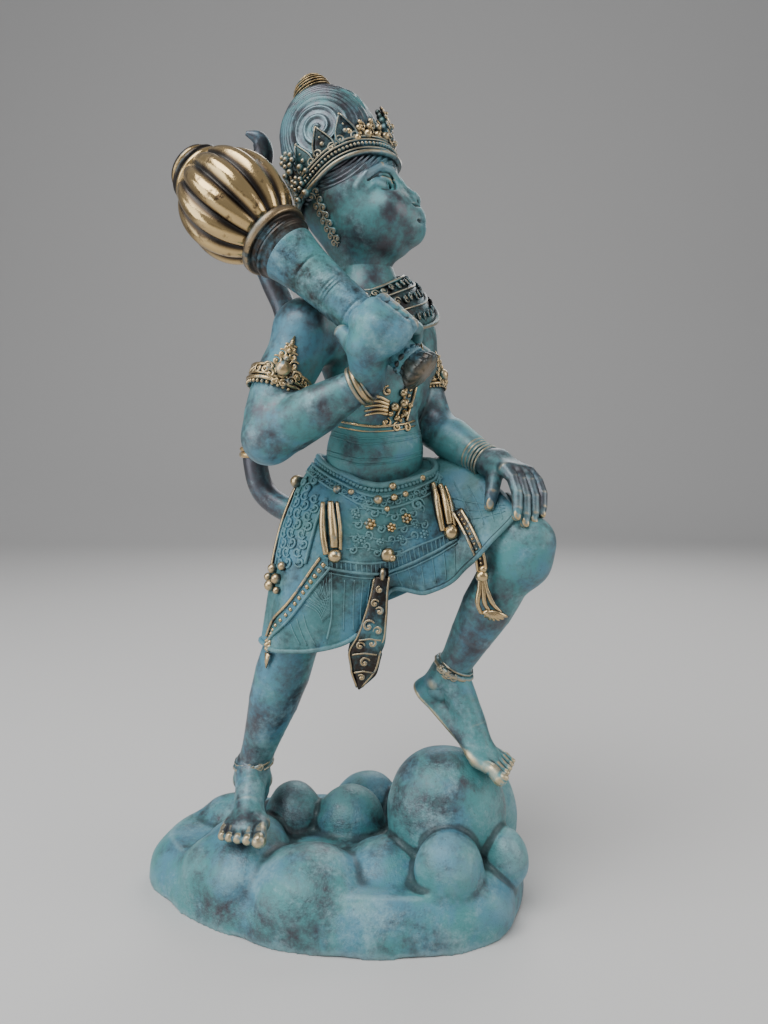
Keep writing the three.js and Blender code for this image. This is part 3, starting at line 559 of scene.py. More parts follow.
def foot(name, heel, ankle, ball, tip, across, up):
    """Heel, arch and ball as balls and cones, an instep up to the ankle, and five toes with nails."""
    heel, ball, tip, up, across = (np.array(value, float) for value in (heel, ball, tip, up, across))
    up = unit(up)
    corners = np.array([heel, ball, tip, ankle])
    clay = Clay(corners.min(0) - 14, corners.max(0) + 12, 0.4)
    sole = facing(ball, tip - heel, up)
    clay.limb([heel, between(heel, ball, 0.35), between(heel, ball, 0.7)], (5.6, 5.0, 4.6), 3)
    clay.ball((0, -2, 0), (8.4, 8, 3.6), sole, 3)
    clay.limb([np.array(ankle), between(ankle, ball, 0.3), between(ankle, ball, 0.62), ball],
              (6.2, 5.8, 5.0, 3.2), 4)
    clay.limb([np.array(ankle) + [0, 0, 2], heel + up * 1.5], (5.4, 4.8), 4)
    for side in (-1, 1):
        clay.ball(np.array(ankle) + side * across * 4.4 - up * 5, 3.0, None, 3)
    for toe, (offset, radius) in enumerate(zip(TOE_OFFSETS, TOE_RADII)):
        root = between(ball, tip, -0.15) + across * offset * 0.94
        end = between(ball, tip, 1 - 0.09 * toe) + across * offset
        middle = between(root, end, 0.6) + up * 0.9
        clay.limb([root, middle, end - up * 0.2], (radius * 0.95, radius * 0.9, radius), 0.8)
        nail = facing(end + up * radius * 0.62, tip - ball, up)
        clay.ball((0, 0.2, 0), (radius * 0.66, radius * 0.8, radius * 0.45), nail, 0.25)
    below = sole.at - up * 3.4
    part, x, y, z = clay.window(clay.low, clay.low + clay.cell * clay.count)
    plane = (x - below[0]) * up[0] + (y - below[1]) * up[1] + (z - below[2]) * up[2]
    clay.carve(part, plane.astype(np.float32), 1.2)
    clay.roughen(0.08, (12, 6), 3)
    piece = clay.mesh(name)
    mark_wear_and_painted_light(piece, scale=0.30, rounds=5)
    return dress(piece, "figure", foot_patina)


for foot_name, foot_points in FEET.items():
    foot(foot_name, **foot_points)

# Hands
# The right one is a fist round the handle, palm to the front; the left hangs over the knee from an arched wrist.
RIGHT_FIST = np.array([15, -41, 201])
MACE_HEAD = np.array([-35, -21, 247.5])
MACE_AXIS = unit(MACE_HEAD - RIGHT_FIST)
HANDLE_RADIUS = 6.6
hand_patina = patina("patina_on_hands", cover=0.5, powder=0.45, rub=(0.70, 0.92), gold=(0.60, 0.44, 0.24))


def round_handle(distance, degrees, radius):
    """A point round the handle: how far along it from the fist, the turn from the palm side, and how far out."""
    palm = np.array([0, -1, 0]) - MACE_AXIS * -MACE_AXIS[1]
    palm = unit(palm)
    over = np.cross(MACE_AXIS, palm)
    angle = np.radians(degrees)
    return RIGHT_FIST + MACE_AXIS * distance + (palm * np.cos(angle) + over * np.sin(angle)) * radius


fist = Clay((-4, -62, 176), (38, -18, 222), 0.33)
fist.limb([RIGHT_WRIST, round_handle(-1, -38, 9.6), round_handle(0, -4, 10)], (5.6, 6.8, 6.2), 3)
fist.limb([round_handle(5, -8, 9.4), round_handle(-5.5, 0, 9.4)], (4.6, 4.6), 3)
fist.limb([round_handle(5.6, 24, 9.6), round_handle(-6, 30, 9.4)], (3.4, 3.4), 3)
for finger in range(4):
    distance = 6.2 - 4.1 * finger
    bend = [round_handle(distance, degrees, radius)
            for degrees, radius in ((18, 9.4), (52, 10.0), (88, 9.0), (126, 8.8), (160, 8.2), (196, 8.2))]
    fist.limb(bend, (2.3, 2.35, 2.1, 2.15, 1.95, 1.8), 0.7)
fist.limb([round_handle(0, -58, 9.4), round_handle(5, -62, 9.2), round_handle(10, -66, 8.6), round_handle(12, -100, 8.2)],
          (4.2, 3.4, 2.7, 2.3), 1.6)
fist.roughen(0.06, (12, 6), 5)
fist_piece = fist.mesh("right_hand")
mark_wear_and_painted_light(fist_piece, scale=0.30, rounds=6)
dress(fist_piece, "figure", hand_patina)

KNUCKLES = np.array([61.5, -17, 158.5])
KNUCKLE_ROW = np.array([9, 7.2, -1.6])
hand = Clay((40, -36, 134), (78, 4, 172), 0.33)
hand.limb([LEFT_WRIST + [-3, 3, 1], LEFT_WRIST, between(LEFT_WRIST, KNUCKLES, 0.4) + [0, 0, 1.4]], (5, 4.7, 4.6), 3)
for share in (-0.42, -0.14, 0.14, 0.42):
    hand.limb([between(LEFT_WRIST, KNUCKLES, 0.2) + KNUCKLE_ROW * share * 0.5, KNUCKLES + KNUCKLE_ROW * share * 1.1],
              (4.0, 2.7), 2.4)
for share, length in ((-0.55, 16), (-0.18, 18), (0.2, 17), (0.56, 14)):
    root = KNUCKLES + KNUCKLE_ROW * share
    bend = [root, root + [2.4, -2.6, -length * 0.2], root + [3.6, -5.2, -length * 0.5],
            root + [3.4, -7.0, -length * 0.82], root + [3.0, -7.6, -length]]
    hand.limb(bend, (2.4, 2.1, 1.95, 1.8, 1.5), 0.7)
    nail_place = facing(bend[-1] + [0.2, -1.2, 0.6], (0.3, -0.2, -1), (0.2, -1, 0.2))
    hand.ball((0, 0, 0), (1.2, 1.9, 0.6), nail_place, 0.2)
thumb = [LEFT_WRIST + [1.5, -2.5, 0], LEFT_WRIST + [1.6, -8, -4.5], LEFT_WRIST + [0.6, -10.6, -10],
         LEFT_WRIST + [-0.4, -11.5, -15]]
hand.limb(thumb, (3.8, 3.0, 2.5, 1.9), 1.6)
hand.ball((0, 0, 0), (1.4, 2.1, 0.6), facing(thumb[-1] + [0, -1.6, 0.8], (0, 0, -1), (0, -1, 0)), 0.2)
hand.roughen(0.06, (12, 6), 6)
hand_piece = hand.mesh("left_hand")
mark_wear_and_painted_light(hand_piece, scale=0.30, rounds=6)
dress(hand_piece, "figure", hand_patina)

# The head
# A monkey's: a round muzzle below heavy carved lids, full cheeks, a short nose rubbed to bare metal at its tip.
head = Clay((-26, -26, 224), (40, 30, 282), 0.4)
head.ball((0, 0, 0), (16.6, 18.7, 18), HEAD, 3)
head.ball((0, -1, -11.5), (14.4, 14.2, 13.2), HEAD, 4)
head.ball((0, 6.3, -12.6), (14.5, 14.7, 14.1), HEAD, 4)
for side in (-1, 1):
    head.ball((side * 7.6, 12, -12.5), (6.6, 6, 6.4), HEAD, 3)
head.ball((0, 14.2, -15.8), (9.3, 8.4, 8.4), HEAD, 2.2)
head.ball((0, 15.5, -20.5), (6.4, 4.6, 4.2), HEAD, 2.5)
head.limb(HEAD.points([(0, 16.8, -3), (0, 18.0, -6.5), (0, 20.2, -9.6)]), (2.6, 2.4, 2.6), 2.2)
head.ball((0, 21, -10.8), (3.1, 2.0, 1.9), HEAD, 0.8)
for side in (-1, 1):
    head.ball((side * 2.7, 20.4, -11.2), (1.7, 1.6, 1.4), HEAD, 0.7)
    head.ball((side * 1.7, 22.4, -12.2), (0.8, 1.2, 0.6), HEAD, 0.4, cut=True)
    head.ball((side * 9.2, 15.2, -4.2), (5.2, 3.2, 3.4), HEAD, 1.4, cut=True)
    head.ball((side * 8.8, 11.9, -4.6), (4.3, 3.5, 3.1), HEAD, 0.5)
    head.ball((side * 9.4, 15.5, -4.6), (1.0, 0.7, 1.0), HEAD, 0.2, cut=True)
    head.limb(HEAD.points([(side * 4.8, 15.9, -4.9), (side * 7, 15.9, -2.9), (side * 10, 14.2, -2.3),
                           (side * 12.8, 10.9, -4.0), (side * 13.8, 8.6, -5.4)]), (0.7, 0.9, 0.95, 0.9, 0.5), 0.5)
    head.limb(HEAD.points([(side * 4.8, 15.9, -5.1), (side * 7.4, 15.4, -7.0), (side * 10.4, 13.2, -7.2),
                           (side * 13.2, 9.6, -5.9)]), (0.6, 0.8, 0.8, 0.5), 0.5)
    head.limb(HEAD.points([(side * 3.2, 18.0, -2.2), (side * 5.6, 17.6, 0.6), (side * 9.6, 15.4, 1.9),
                           (side * 13.4, 10.4, 0.4), (side * 15.2, 5.6, -3.0)]), (1.0, 1.4, 1.5, 1.2, 0.7), 1.0)
    head.limb(HEAD.points([(side * 4.2, 17.2, -3.0), (side * 7, 16.8, -0.8), (side * 10.4, 14.4, -0.3),
                           (side * 13.6, 9.8, -2.2)]), (0.4, 0.45, 0.45, 0.4), 0.3, cut=True)
    head.limb(HEAD.points([(side * 1.4, 22.2, -13.8), (side * 5.0, 20.6, -14.2), (side * 8.2, 16.6, -12.2)]),
              (0.5, 0.6, 0.4), 0.9, cut=True)
    head.limb(HEAD.points([(0, 22.4, -20.2), (side * 3.4, 21.2, -19.9), (side * 6.4, 17.8, -18.6),
                           (side * 8.2, 14.0, -17.6)]), (0.5, 0.55, 0.55, 0.35), 0.6, cut=True)
head.limb(HEAD.points([(0, 22.9, -13.4), (0, 22.6, -15.6)]), (0.5, 0.5), 0.8, cut=True)
head.limb([between(NECK, HEAD.at, 0.18), between(NECK, HEAD.at, 0.7)], (10.2, 9.8), 4)
head.roughen(0.07, (18, 9), 8)
head_patina = patina("patina_on_head", cover=0.52, powder=0.35, rub=(0.90, 1.05))
head_piece = head.mesh("head")
mark_wear_and_painted_light(head_piece, scale=0.40, rounds=7)
dress(head_piece, "figure", head_patina)

# The mace
# Cast with the figure: a melon of twelve lobes polished like gold between a ringed knob and a brown collar,
# on a handle that thins towards the fist and ends in a fluted pommel below it.
MELON_RADIUS = 18.4
MELON_HALF_LENGTH = 20.5
MELON_LOBES = 12
LOBE_DEPTH = 2.7


class Casting:
    """Small closed forms gathered into one piece. The value of wear and painted light is high where a form stands
    out of its ground and low where it sinks: the patina paints the low places near black as shade, the high ones pale
    as a highlight, and rubs the highest to gold.
    """

    def __init__(self):
        self.points, self.wear, self.quads, self.triangles, self.count = [], [], [], [], 0

    def skin(self, rings, wear, closed=False):
        """A skin over rings of points: neighbouring rings are joined by quads, and unless the last ring meets
        the first, both ends close on their middles. It is turned inside out if its volume comes out negative."""
        rings = np.asarray(rings, float)
        rows, columns = rings.shape[:2]
        index = np.arange(rows * columns).reshape(rows, columns)
        below = np.concatenate([index, index[:1]]) if closed else index
        quads = np.stack([below[:-1], np.roll(below[:-1], -1, 1), np.roll(below[1:], -1, 1), below[1:]], -1)
        quads = quads.reshape(-1, 4)
        points = rings.reshape(-1, 3)
        wear = np.broadcast_to(wear, (rows, columns)).ravel()
        triangles = np.zeros((0, 3), int)
        if not closed:
            first = np.stack([np.roll(index[0], -1), index[0], np.full(columns, len(points))], -1)
            last = np.stack([index[-1], np.roll(index[-1], -1), np.full(columns, len(points) + 1)], -1)
            triangles = np.concatenate([first, last])
            points = np.concatenate([points, [rings[0].mean(0), rings[-1].mean(0)]])
            wear = np.concatenate([wear, [wear[:columns].mean(), wear[-columns:].mean()]])
        middle = points.mean(0)
        halves = np.concatenate([quads[:, :3], quads[:, [0, 2, 3]], triangles])
        a, b, c = (points[halves[:, corner]] - middle for corner in range(3))
        if np.einsum("ij,ij->", a, np.cross(b, c)) < 0:
            quads = quads[:, ::-1]
            triangles = triangles[:, ::-1]
        self.quads.append(quads + self.count)
        self.triangles.append(triangles + self.count)
        self.points.append(points)
        self.wear.append(wear)
        self.count += len(points)

    def tube(self, path, out, wide, high, sides=10, closed=False, wear=None):
        """An oval section carried along a path: out times high times the cosine, plus across times wide times
        the sine, of the angle round the path."""
        path = np.asarray(path, float)
        along = np.gradient(path, axis=0)
        if closed:
            along = np.roll(path, -1, 0) - np.roll(path, 1, 0)
        along = unit(along)
        out = np.broadcast_to(np.asarray(out, float), path.shape)
        across = unit(np.cross(along, out))
        out = np.cross(across, along)
        angle = np.linspace(0, 2 * np.pi, sides, endpoint=False)
        wide = np.broadcast_to(wide, len(path))[:, None, None]
        high = np.broadcast_to(high, len(path))[:, None, None]
        rings = path[:, None] + out[:, None] * high * np.cos(angle)[None, :, None] \
            + across[:, None] * wide * np.sin(angle)[None, :, None]
        # By default the outer side of the section gets a high value, painted pale as a highlight and rubbed gold, and
        # the side towards the ground a low one, painted near black as shade.
        if wear is None:
            wear = 0.42 + 0.5 * np.cos(angle)[None, :]
        self.skin(rings, wear, closed)

    def bead(self, at, out, radius, high=None, sides=10, rows=5, wear=(0.2, 0.95)):
        """A round stud on a surface: rings of a ball from under the surface to just before its top."""
        out = unit(out)
        side = unit(np.cross(out, (0.31, 0.2, 0.93) if abs(out[2]) < 0.9 else (1, 0.1, 0)))
        other = np.cross(out, side)
        high = radius if high is None else high
        lift = np.linspace(-0.5 * np.pi + 0.3, 0.5 * np.pi - 0.22, rows)
        angle = np.linspace(0, 2 * np.pi, sides, endpoint=False)
        ring = side * np.cos(angle)[:, None] + other * np.sin(angle)[:, None]
        rings = np.asarray(at, float) + ring[None] * (radius * np.cos(lift))[:, None, None] \
            + out * (high * np.sin(lift))[:, None, None]
        # The foot of the stud gets a low value, painted dark as shade, and its top a high one, painted pale as a
        # highlight and rubbed gold.
        worn_and_painted_light = wear[0] + (wear[1] - wear[0]) * (0.5 + 0.5 * np.sin(lift))
        self.skin(rings, worn_and_painted_light[:, None])

    def scroll(self, at, out, heading, radius, thick, turns=1.4, hand=1, high=None):
        """A spiral lock: its radius grows evenly with the angle from a round eye to the outside."""
        out = unit(out)
        heading = unit(np.asarray(heading, float) - out * np.dot(heading, out))
        aside = np.cross(out, heading) * hand
        share = np.linspace(0.12, 1, int(12 * turns) + 4)
        angle = 2 * np.pi * turns * (1 - share)
        path = np.asarray(at, float) + (heading * np.cos(angle)[:, None] + aside * np.sin(angle)[:, None]) \
            * (radius * share)[:, None]
        swell = thick * (0.55 + 0.45 * np.sin(np.pi * share) + 0.1)
        self.tube(path, out, swell, swell if high is None else swell * high / thick, 8)
        self.bead(at, out, thick * 1.15, thick * 1.3, 8, 4)

    def piece(self, name, node, slot, material):
        """One mesh of all forms, dressed and with its values of wear and painted light."""
        piece = new_piece(name, np.concatenate(self.points), np.concatenate(self.quads),
                          np.concatenate(self.triangles))
        attribute = piece.data.attributes.new("wear", "FLOAT", "POINT")
        attribute.data.foreach_set("value", np.clip(np.concatenate(self.wear), 0, 1).astype(np.float32))
        return dress(piece, node, material)


def turned(profile, count, sides, lobes=0, depth=0.0, axis_at=MACE_HEAD, axis=MACE_AXIS):
    """A profile of distance and radius turned round an axis; each radius loses depth times its share of lobes
    in the valleys: the share is one less the root of the cosine's size, so that lobes are round, valleys sharp."""
    profile = round_curve(np.concatenate([np.asarray(profile, float), np.zeros((len(profile), 1))], 1), count)
    side = unit(np.cross(axis, (0, 0, 1)))
    other = np.cross(axis, side)
    angle = np.linspace(0, 2 * np.pi, sides, endpoint=False)
    valley = 1 - np.abs(np.cos(angle * lobes / 2)) ** 0.9 if lobes else np.zeros(sides)
    radius = profile[:, 1:2] - np.asarray(depth) * valley[None]
    ring = side * np.cos(angle)[:, None] + other * np.sin(angle)[:, None]
    return axis_at + axis * profile[:, :1, None] + ring[None] * radius[:, :, None], valley


melon = Casting()
latitude = np.radians(np.linspace(-62, 56, 96))
melon_profile = np.stack([np.sin(latitude) * MELON_HALF_LENGTH, np.cos(latitude) * MELON_RADIUS], 1)
melon_rings, valley = turned(melon_profile, 96, MELON_LOBES * 20, MELON_LOBES,
                             LOBE_DEPTH * np.sin(np.linspace(0.25, np.pi - 0.2, 96))[:, None] ** 0.6)
# The valleys get a low value, painted near black as shade, and the lobes a high one, rubbed gold.
melon.skin(melon_rings, (0.95 - valley * 0.95)[None])
mace_gold = patina("polished_mace", dark=(0.050, 0.030, 0.014), green=(0.11, 0.075, 0.03), pale=(0.16, 0.10, 0.045),
                   gold=(0.60, 0.42, 0.19), cover=0.1, powder=0.0, rub=(0.34, 0.80), shine=0.22, spots=0.9)
melon.piece("mace_melon", "figure", "bronze_figure", mace_gold)

knob = Casting()
knob_rings, _ = turned([(13, 9), (15.2, 11.2), (16.3, 11.6), (17.4, 11.0), (17.9, 9.9), (18.6, 10.4), (19.5, 10.5),
                        (20.2, 9.8), (20.5, 8.3), (21.4, 8.9), (22.6, 8.7), (24, 7.2), (25, 4.6), (25.3, 3.6),
                        (26.2, 2.9), (27.0, 1.2)], 60, 64)
knob_wear = 0.5 + 0.45 * np.sin(np.linspace(0, 5 * np.pi, 60))
knob.skin(knob_rings, knob_wear[:, None])
knob.piece("mace_knob", "figure", "bronze_figure", mace_gold)

FIST_DISTANCE = -np.linalg.norm(MACE_HEAD - RIGHT_FIST)
collar = Casting()
collar_rings, _ = turned([(-15, 9.0), (-17.6, 12.0), (-18.4, 12.9), (-19.6, 13.0), (-20.6, 12.6), (-20.9, 10.9),
                          (-22.6, 10.6), (-23.2, 11.2), (-24.2, 11.2), (-24.8, 10.4), (-26, 10.1), (-30, 9.2)], 60, 72)
# Low in the grooves, painted dark as shade; high on the ridges, painted pale as a highlight and rubbed gold.
collar_wear = np.interp(np.linspace(0, 1, 60), (0, 0.2, 0.35, 0.5, 0.62, 0.75, 0.85, 1),
                        (0.2, 0.75, 0.88, 0.6, 0.2, 0.75, 0.35, 0.2))
collar.skin(collar_rings, collar_wear[:, None])
brown_patina = patina("brown_collar", dark=(0.040, 0.026, 0.018), green=(0.05, 0.07, 0.06), pale=(0.10, 0.12, 0.11),
                      gold=(0.42, 0.29, 0.15), cover=0.25, powder=0.05, rub=(0.70, 0.95), shine=0.30)
collar.piece("mace_collar", "figure", "bronze_figure", brown_patina)

handle = Casting()
handle_profile = [(-27, 10.0), (-31, 9.1), (-36, 8.3), (-43, 7.7), (-50, 7.3), (-56, 7.0), (-62, 6.6), (-72, 6.2)]
handle_rings, _ = turned(handle_profile + [(FIST_DISTANCE - 8, 5.2), (FIST_DISTANCE - 12, 5.4)], 150, 60)
for line in (-37.5, -47.6, -48.8, -50.0, -58.5):
    distance = (handle_rings.mean(1) - MACE_HEAD) @ MACE_AXIS
    groove = 0.35 * np.exp(-((distance - line) / 0.28) ** 2)
    centre = handle_rings.mean(1, keepdims=True)
    handle_rings = centre + (handle_rings - centre) * (1 - groove / 7)[:, None, None]
handle.skin(handle_rings, 0.5)
handle_patina = patina("patina_on_handle", dark=(0.034, 0.028, 0.028), cover=0.62, powder=0.55, rub=(0.97, 1.2), grit=0.35)
handle.piece("mace_handle", "figure", "bronze_figure", handle_patina)

pommel = Casting()
pommel_rings, _ = turned([(FIST_DISTANCE - 9, 4.9), (FIST_DISTANCE - 10.4, 6.0), (FIST_DISTANCE - 11.4, 5.2),
                          (FIST_DISTANCE - 13, 5.4), (FIST_DISTANCE - 15.4, 6.8), (FIST_DISTANCE - 17, 7.0),
                          (FIST_DISTANCE - 18, 5.0)], 40, 96, 12, 0.8)
pommel.skin(pommel_rings, np.linspace(0.4, 0.8, 40)[:, None])
pommel.piece("mace_pommel", "figure", "bronze_figure", brown_patina)

# The tail
# A smooth tube that leaves the rump, loops behind the right elbow and stands up behind the back, its tip curled.
TAIL_RADIUS = 5
TAIL_PATH = [(-2, 10, 141), (-12, 16, 141), (-23, 20, 142), (-33, 23, 149), (-36.4, 24, 160), (-36.4, 25, 172),
             (-31, 28, 194), (-24, 30, 217), (-30, 30, 234), (-37, 27, 252), (-35, 22, 270), (-31, 18, 279),
             (-32.5, 15.5, 283), (-37, 14, 284.6)]
tail = Casting()
tail_path = round_curve(TAIL_PATH, 260)
tail_share = np.linspace(0, 1, 260)
tail_size = TAIL_RADIUS * np.interp(tail_share, (0, 0.1, 0.4, 0.85, 0.95, 1), (1.2, 1, 0.95, 0.95, 0.62, 0.16))
tail.tube(tail_path, (0.3, 0.9, 0.2), tail_size, tail_size, 28, wear=0.5)
tail_ring_at = np.array([-36.4, 24.3, 165])
turn = np.linspace(0, 2 * np.pi, 48, endpoint=False)
for height, radius in ((-1.2, 1.3), (1.1, 1.0)):
    ring_out = np.stack([np.cos(turn), np.sin(turn), 0 * turn], 1)
    tail.tube(tail_ring_at + ring_out * (TAIL_RADIUS + 0.3) + [0, 0, height], ring_out, radius, radius, 10, True,
              wear=0.98)
tail_patina = patina("patina_on_tail", cover=0.45, powder=0.35, rub=(0.80, 0.95))
tail.piece("tail", "figure", "bronze_figure", tail_patina)

# The skirt
# A knee-long cloth modelled in one with the figure: it hangs to the right knee and lies over the raised thigh.
WAIST_AT = np.array([12.6, 0, 160])
WAIST_LINE = ((10, 161.5), (90, 161), (150, 163), (190, 163.6), (225, 158.4), (270, 153.4), (310, 155.2), (350, 158.4))
HEM = [(-30, -5, 96), (-27.6, -14, 95.4), (-21.6, -20.6, 95), (-9, -23.6, 96), (3, -21.4, 99), (12, -18, 108), (18, -16, 116), (30, -17, 115),
       (40, -20, 121), (49, -26, 132), (60, -24, 144), (59, -11, 149), (54, -1, 142), (46, 8, 128), (34, 17, 116),
       (20, 22, 107), (4, 23, 101), (-12, 18, 97), (-25, 9, 96)]
SKIRT_COLUMNS = 420
SKIRT_ROWS = 110
SKIRT_THICKNESS = 1.5


def skirt_surface():
    """The point at a share round the body and a share down the cloth lies on the line from the waist to the hem,
    pushed outwards by the sine of the way down, and waved by folds that grow towards the hem."""
    hem = round_curve(HEM, SKIRT_COLUMNS, closed=True)
    round_body = np.linspace(0, 1, SKIRT_COLUMNS, endpoint=False)
    angle = np.radians(190) + 2 * np.pi * round_body
    line = np.array(WAIST_LINE, float)
    waist_height = np.interp(np.degrees(angle) % 360, line[:, 0], line[:, 1], period=360)
    waist = np.stack([WAIST_AT[0] + 20.6 * np.cos(angle), 17.2 * np.sin(angle), waist_height], 1)
    down = np.linspace(0, 1, SKIRT_ROWS)[:, None, None]
    cloth = waist * (1 - down) + hem * down
    over_thigh = np.interp(round_body, (0, 0.40, 0.52, 0.62, 0.72, 1), (0, 0, 1.6, 1.6, 0, 0))
    out = unit((waist - WAIST_AT) * [1, 1, 0])
    out = unit(out + over_thigh[:, None] * [0, 0, 1])
    bulge = np.interp(round_body, (0, 0.08, 0.3, 0.42, 0.5, 0.62, 0.8, 1), (6.4, 5.4, 3.6, 3.0, 5.6, 5.2, 5, 6.4))
    folds = 0.5 * np.sin(2 * np.pi * 17 * round_body)
    push = bulge[:, None] * np.sin(np.pi * down ** 0.66) + folds[:, None] * down ** 2
    return cloth + out * push


skirt_outside = skirt_surface()
inward = unit(np.cross(np.gradient(skirt_outside, axis=0),
                       np.roll(skirt_outside, -1, 1) - np.roll(skirt_outside, 1, 1)))
if np.sum(inward * (skirt_outside - WAIST_AT)) > 0:
    inward = -inward
skirt_inside = (skirt_outside + inward * SKIRT_THICKNESS)[::-1][:70]
hem_round = (skirt_outside[-1:] + skirt_inside[:1]) / 2 + [0, 0, -0.5]
skirt = Casting()
waist_inside = WAIST_AT * [1, 1, 0] + (skirt_outside[:1] - WAIST_AT * [1, 1, 0]) * [0.84, 0.84, 1] + [0, 0, 0.5]
skirt.skin(np.concatenate([waist_inside, skirt_outside, hem_round, skirt_inside]), 0.5)
cloth_patina = patina("patina_on_cloth", dark=(0.036, 0.034, 0.036), green=(0.06, 0.19, 0.20), pale=(0.22, 0.40, 0.42),
                      cover=0.8, powder=0.5, rub=(0.92, 1.1), shine=0.42, grit=0.2)
skirt_piece = skirt.piece("skirt", "figure", "bronze_figure", cloth_patina)


def ground(*pieces):
    """The surface of finished pieces in millimetres, as a tree that finds the nearest place on it."""
    points, faces, count = [], [], 0
    for piece in pieces:
        mesh = piece.data
        flat = np.empty(len(mesh.vertices) * 3, np.float32)
        mesh.vertices.foreach_get("co", flat)
        points.append(flat.reshape(-1, 3).astype(float) * 1000)
        faces += [[corner + count for corner in face.vertices] for face in mesh.polygons]
        count += len(mesh.vertices)
    return BVHTree.FromPolygons(np.concatenate(points).tolist(), faces)


def nearest(tree, points):
    """The nearest places on a surface and the directions out of it there."""
    found = [tree.find_nearest(point) for point in np.atleast_2d(points)]
    return np.array([list(hit[0]) for hit in found]), np.array([list(hit[1]) for hit in found])


def laid(tree, points, count=24, lift=0.0, closed=False):
    """A smooth curve through points, laid on a surface, and the direction out of it, evened along the curve."""
    at, out = nearest(tree, round_curve(points, count, closed))
    for _ in range(3):
        out[1:-1] = unit(out[:-2] + out[1:-1] * 2 + out[2:])
        at[1:-1] = (at[:-2] + at[1:-1] * 2 + at[2:]) / 4
    return at + out * lift, out


def strip(casting, tree, points, wide, high, count=30, lift=0.0, closed=False, sides=8, wear=None):
    """A moulded strip laid on a surface; its width and height may change along it."""
    at, out = laid(tree, points, count, lift, closed)
    wide = np.interp(np.linspace(0, 1, count), np.linspace(0, 1, np.size(wide)), np.atleast_1d(wide))
    high = np.interp(np.linspace(0, 1, count), np.linspace(0, 1, np.size(high)), np.atleast_1d(high))
    casting.tube(at, out, wide, high, sides, closed, wear)


def studs(casting, tree, points, count, radius, high=None, lift=0.0, closed=False, wear=(0.2, 0.95)):
    """A row of round studs laid on a surface along a curve."""
    for at, out in zip(*laid(tree, points, count, lift, closed)):
        casting.bead(at, out, radius, high, 8, 4, wear)


def vine(casting, tree, points, count, radius, thick, aside=0.6, lift=0.2):
    """A foliage stem laid on a surface, with a scroll turned out to its left and to its right in turn."""
    at, out = laid(tree, points, count * 4, lift)
    casting.tube(at, out, thick * 0.7, thick * 0.7, 6)
    for place in range(count):
        row = place * 4 + 2
        row = min(row, len(at) - 2)
        along = unit(at[row + 1] - at[row - 1])
        across = np.cross(out[row], along)
        hand = 1 if place % 2 else -1
        spot, normal = nearest(tree, at[row] + across * hand * radius * aside)
        casting.scroll(spot[0] + normal[0] * lift, normal[0], -across * hand + along * 0.4, radius, thick, 1.3, hand)


def rosette(casting, tree, at, radius, high=0.9, petals=6, wear=(0.3, 0.95)):
    """A flower stud: petals round a boss."""
    spot, out = nearest(tree, at)
    spot, out = spot[0], out[0]
    side = unit(np.cross(out, (0.2, 0.3, 0.9)))
    other = np.cross(out, side)
    for petal in range(petals):
        angle = 2 * np.pi * petal / petals
        casting.bead(spot + (side * np.cos(angle) + other * np.sin(angle)) * radius * 0.62, out, radius * 0.38, high,
                     8, 4, wear)
    casting.bead(spot + out * high * 0.3, out, radius * 0.42, high * 1.1, 8, 5, wear)




def ground_of(grid):
    """The outside of a grid of rings, from the top down and round the body from left to front, as a tree too."""
    rows, columns = grid.shape[:2]
    index = np.arange(rows * columns).reshape(rows, columns)
    faces = np.stack([index[1:], np.roll(index[1:], -1, 1), np.roll(index[:-1], -1, 1), index[:-1]], -1)
    return BVHTree.FromPolygons(grid.reshape(-1, 3).tolist(), faces.reshape(-1, 4).tolist())


skirt_ground = ground_of(skirt_outside)

# Belt, buckle and hangings of the skirt
# Modelled on the cloth in wax threads and pellets: a dipping belt with studs, a bed of scrolls under it, two
# folded sash ends rubbed to gold, a carved side panel, a jewelled band across it and a netted field beside it.
BELT_LINE = [(-8.6, -5, 163), (-4, -12, 160), (2, -16, 157), (7, -18, 154.6), (14, -18.6, 153.6), (21, -17, 155),
             (28, -13, 157), (33.4, -6, 158.6), (34, 4, 160), (28, 13, 161), (14, 18, 161.4), (0, 15, 162),
             (-7.6, 7, 163)]
gilt_patina = patina("gilt_relief", dark=(0.045, 0.032, 0.022), cover=0.35, powder=0.3, rub=(0.55, 0.85),
                     gold=(0.60, 0.44, 0.23), shine=0.28)
plain_trim = Casting()
gilt_trim = Casting()
strip(plain_trim, skirt_ground, BELT_LINE, 1.3, 1.5, 150, 0.2, True, 10)
lower_belt = [(x, y, z - 4.6) for x, y, z in BELT_LINE]
strip(plain_trim, skirt_ground, lower_belt, 0.6, 0.8, 150, 0.1, True)
studs(plain_trim, skirt_ground, [(x, y, z - 2.4) for x, y, z in BELT_LINE], 74, 0.85, 1.0, 0.2, True)
third_belt = [(x, y, z - 8.6) for x, y, z in BELT_LINE]
strip(plain_trim, skirt_ground, third_belt, 0.5, 0.7, 150, 0.1, True)
vine(plain_trim, skirt_ground, [(x, y, z - 6.6) for x, y, z in BELT_LINE] + [(-9, -5, 157)], 46, 1.5, 0.38, 0.2)
for at, size in (((-0.8, -16.3, 151), 1.5), ((3.8, -17.8, 150.4), 1.2), ((12.9, -19.1, 148), 1.7),
                 ((17.8, -17.2, 152.4), 1.5), ((18.1, -18, 148.8), 1.4), ((22, -17, 150), 1.2),
                 ((28.3, -12, 155), 1.3), ((15.8, -19.6, 145.2), 1.1)):
    spot, out = nearest(skirt_ground, at)
    gilt_trim.bead(spot[0] + out[0] * 0.5, out[0], size, size * 1.25, 12, 6)
for at, size in (((10.1, -20.6, 140.1), 2.3), ((17.1, -19.6, 139), 1.9), ((22.7, -18.3, 142), 2.1)):
    rosette(gilt_trim, skirt_ground, at, size, 1.3)
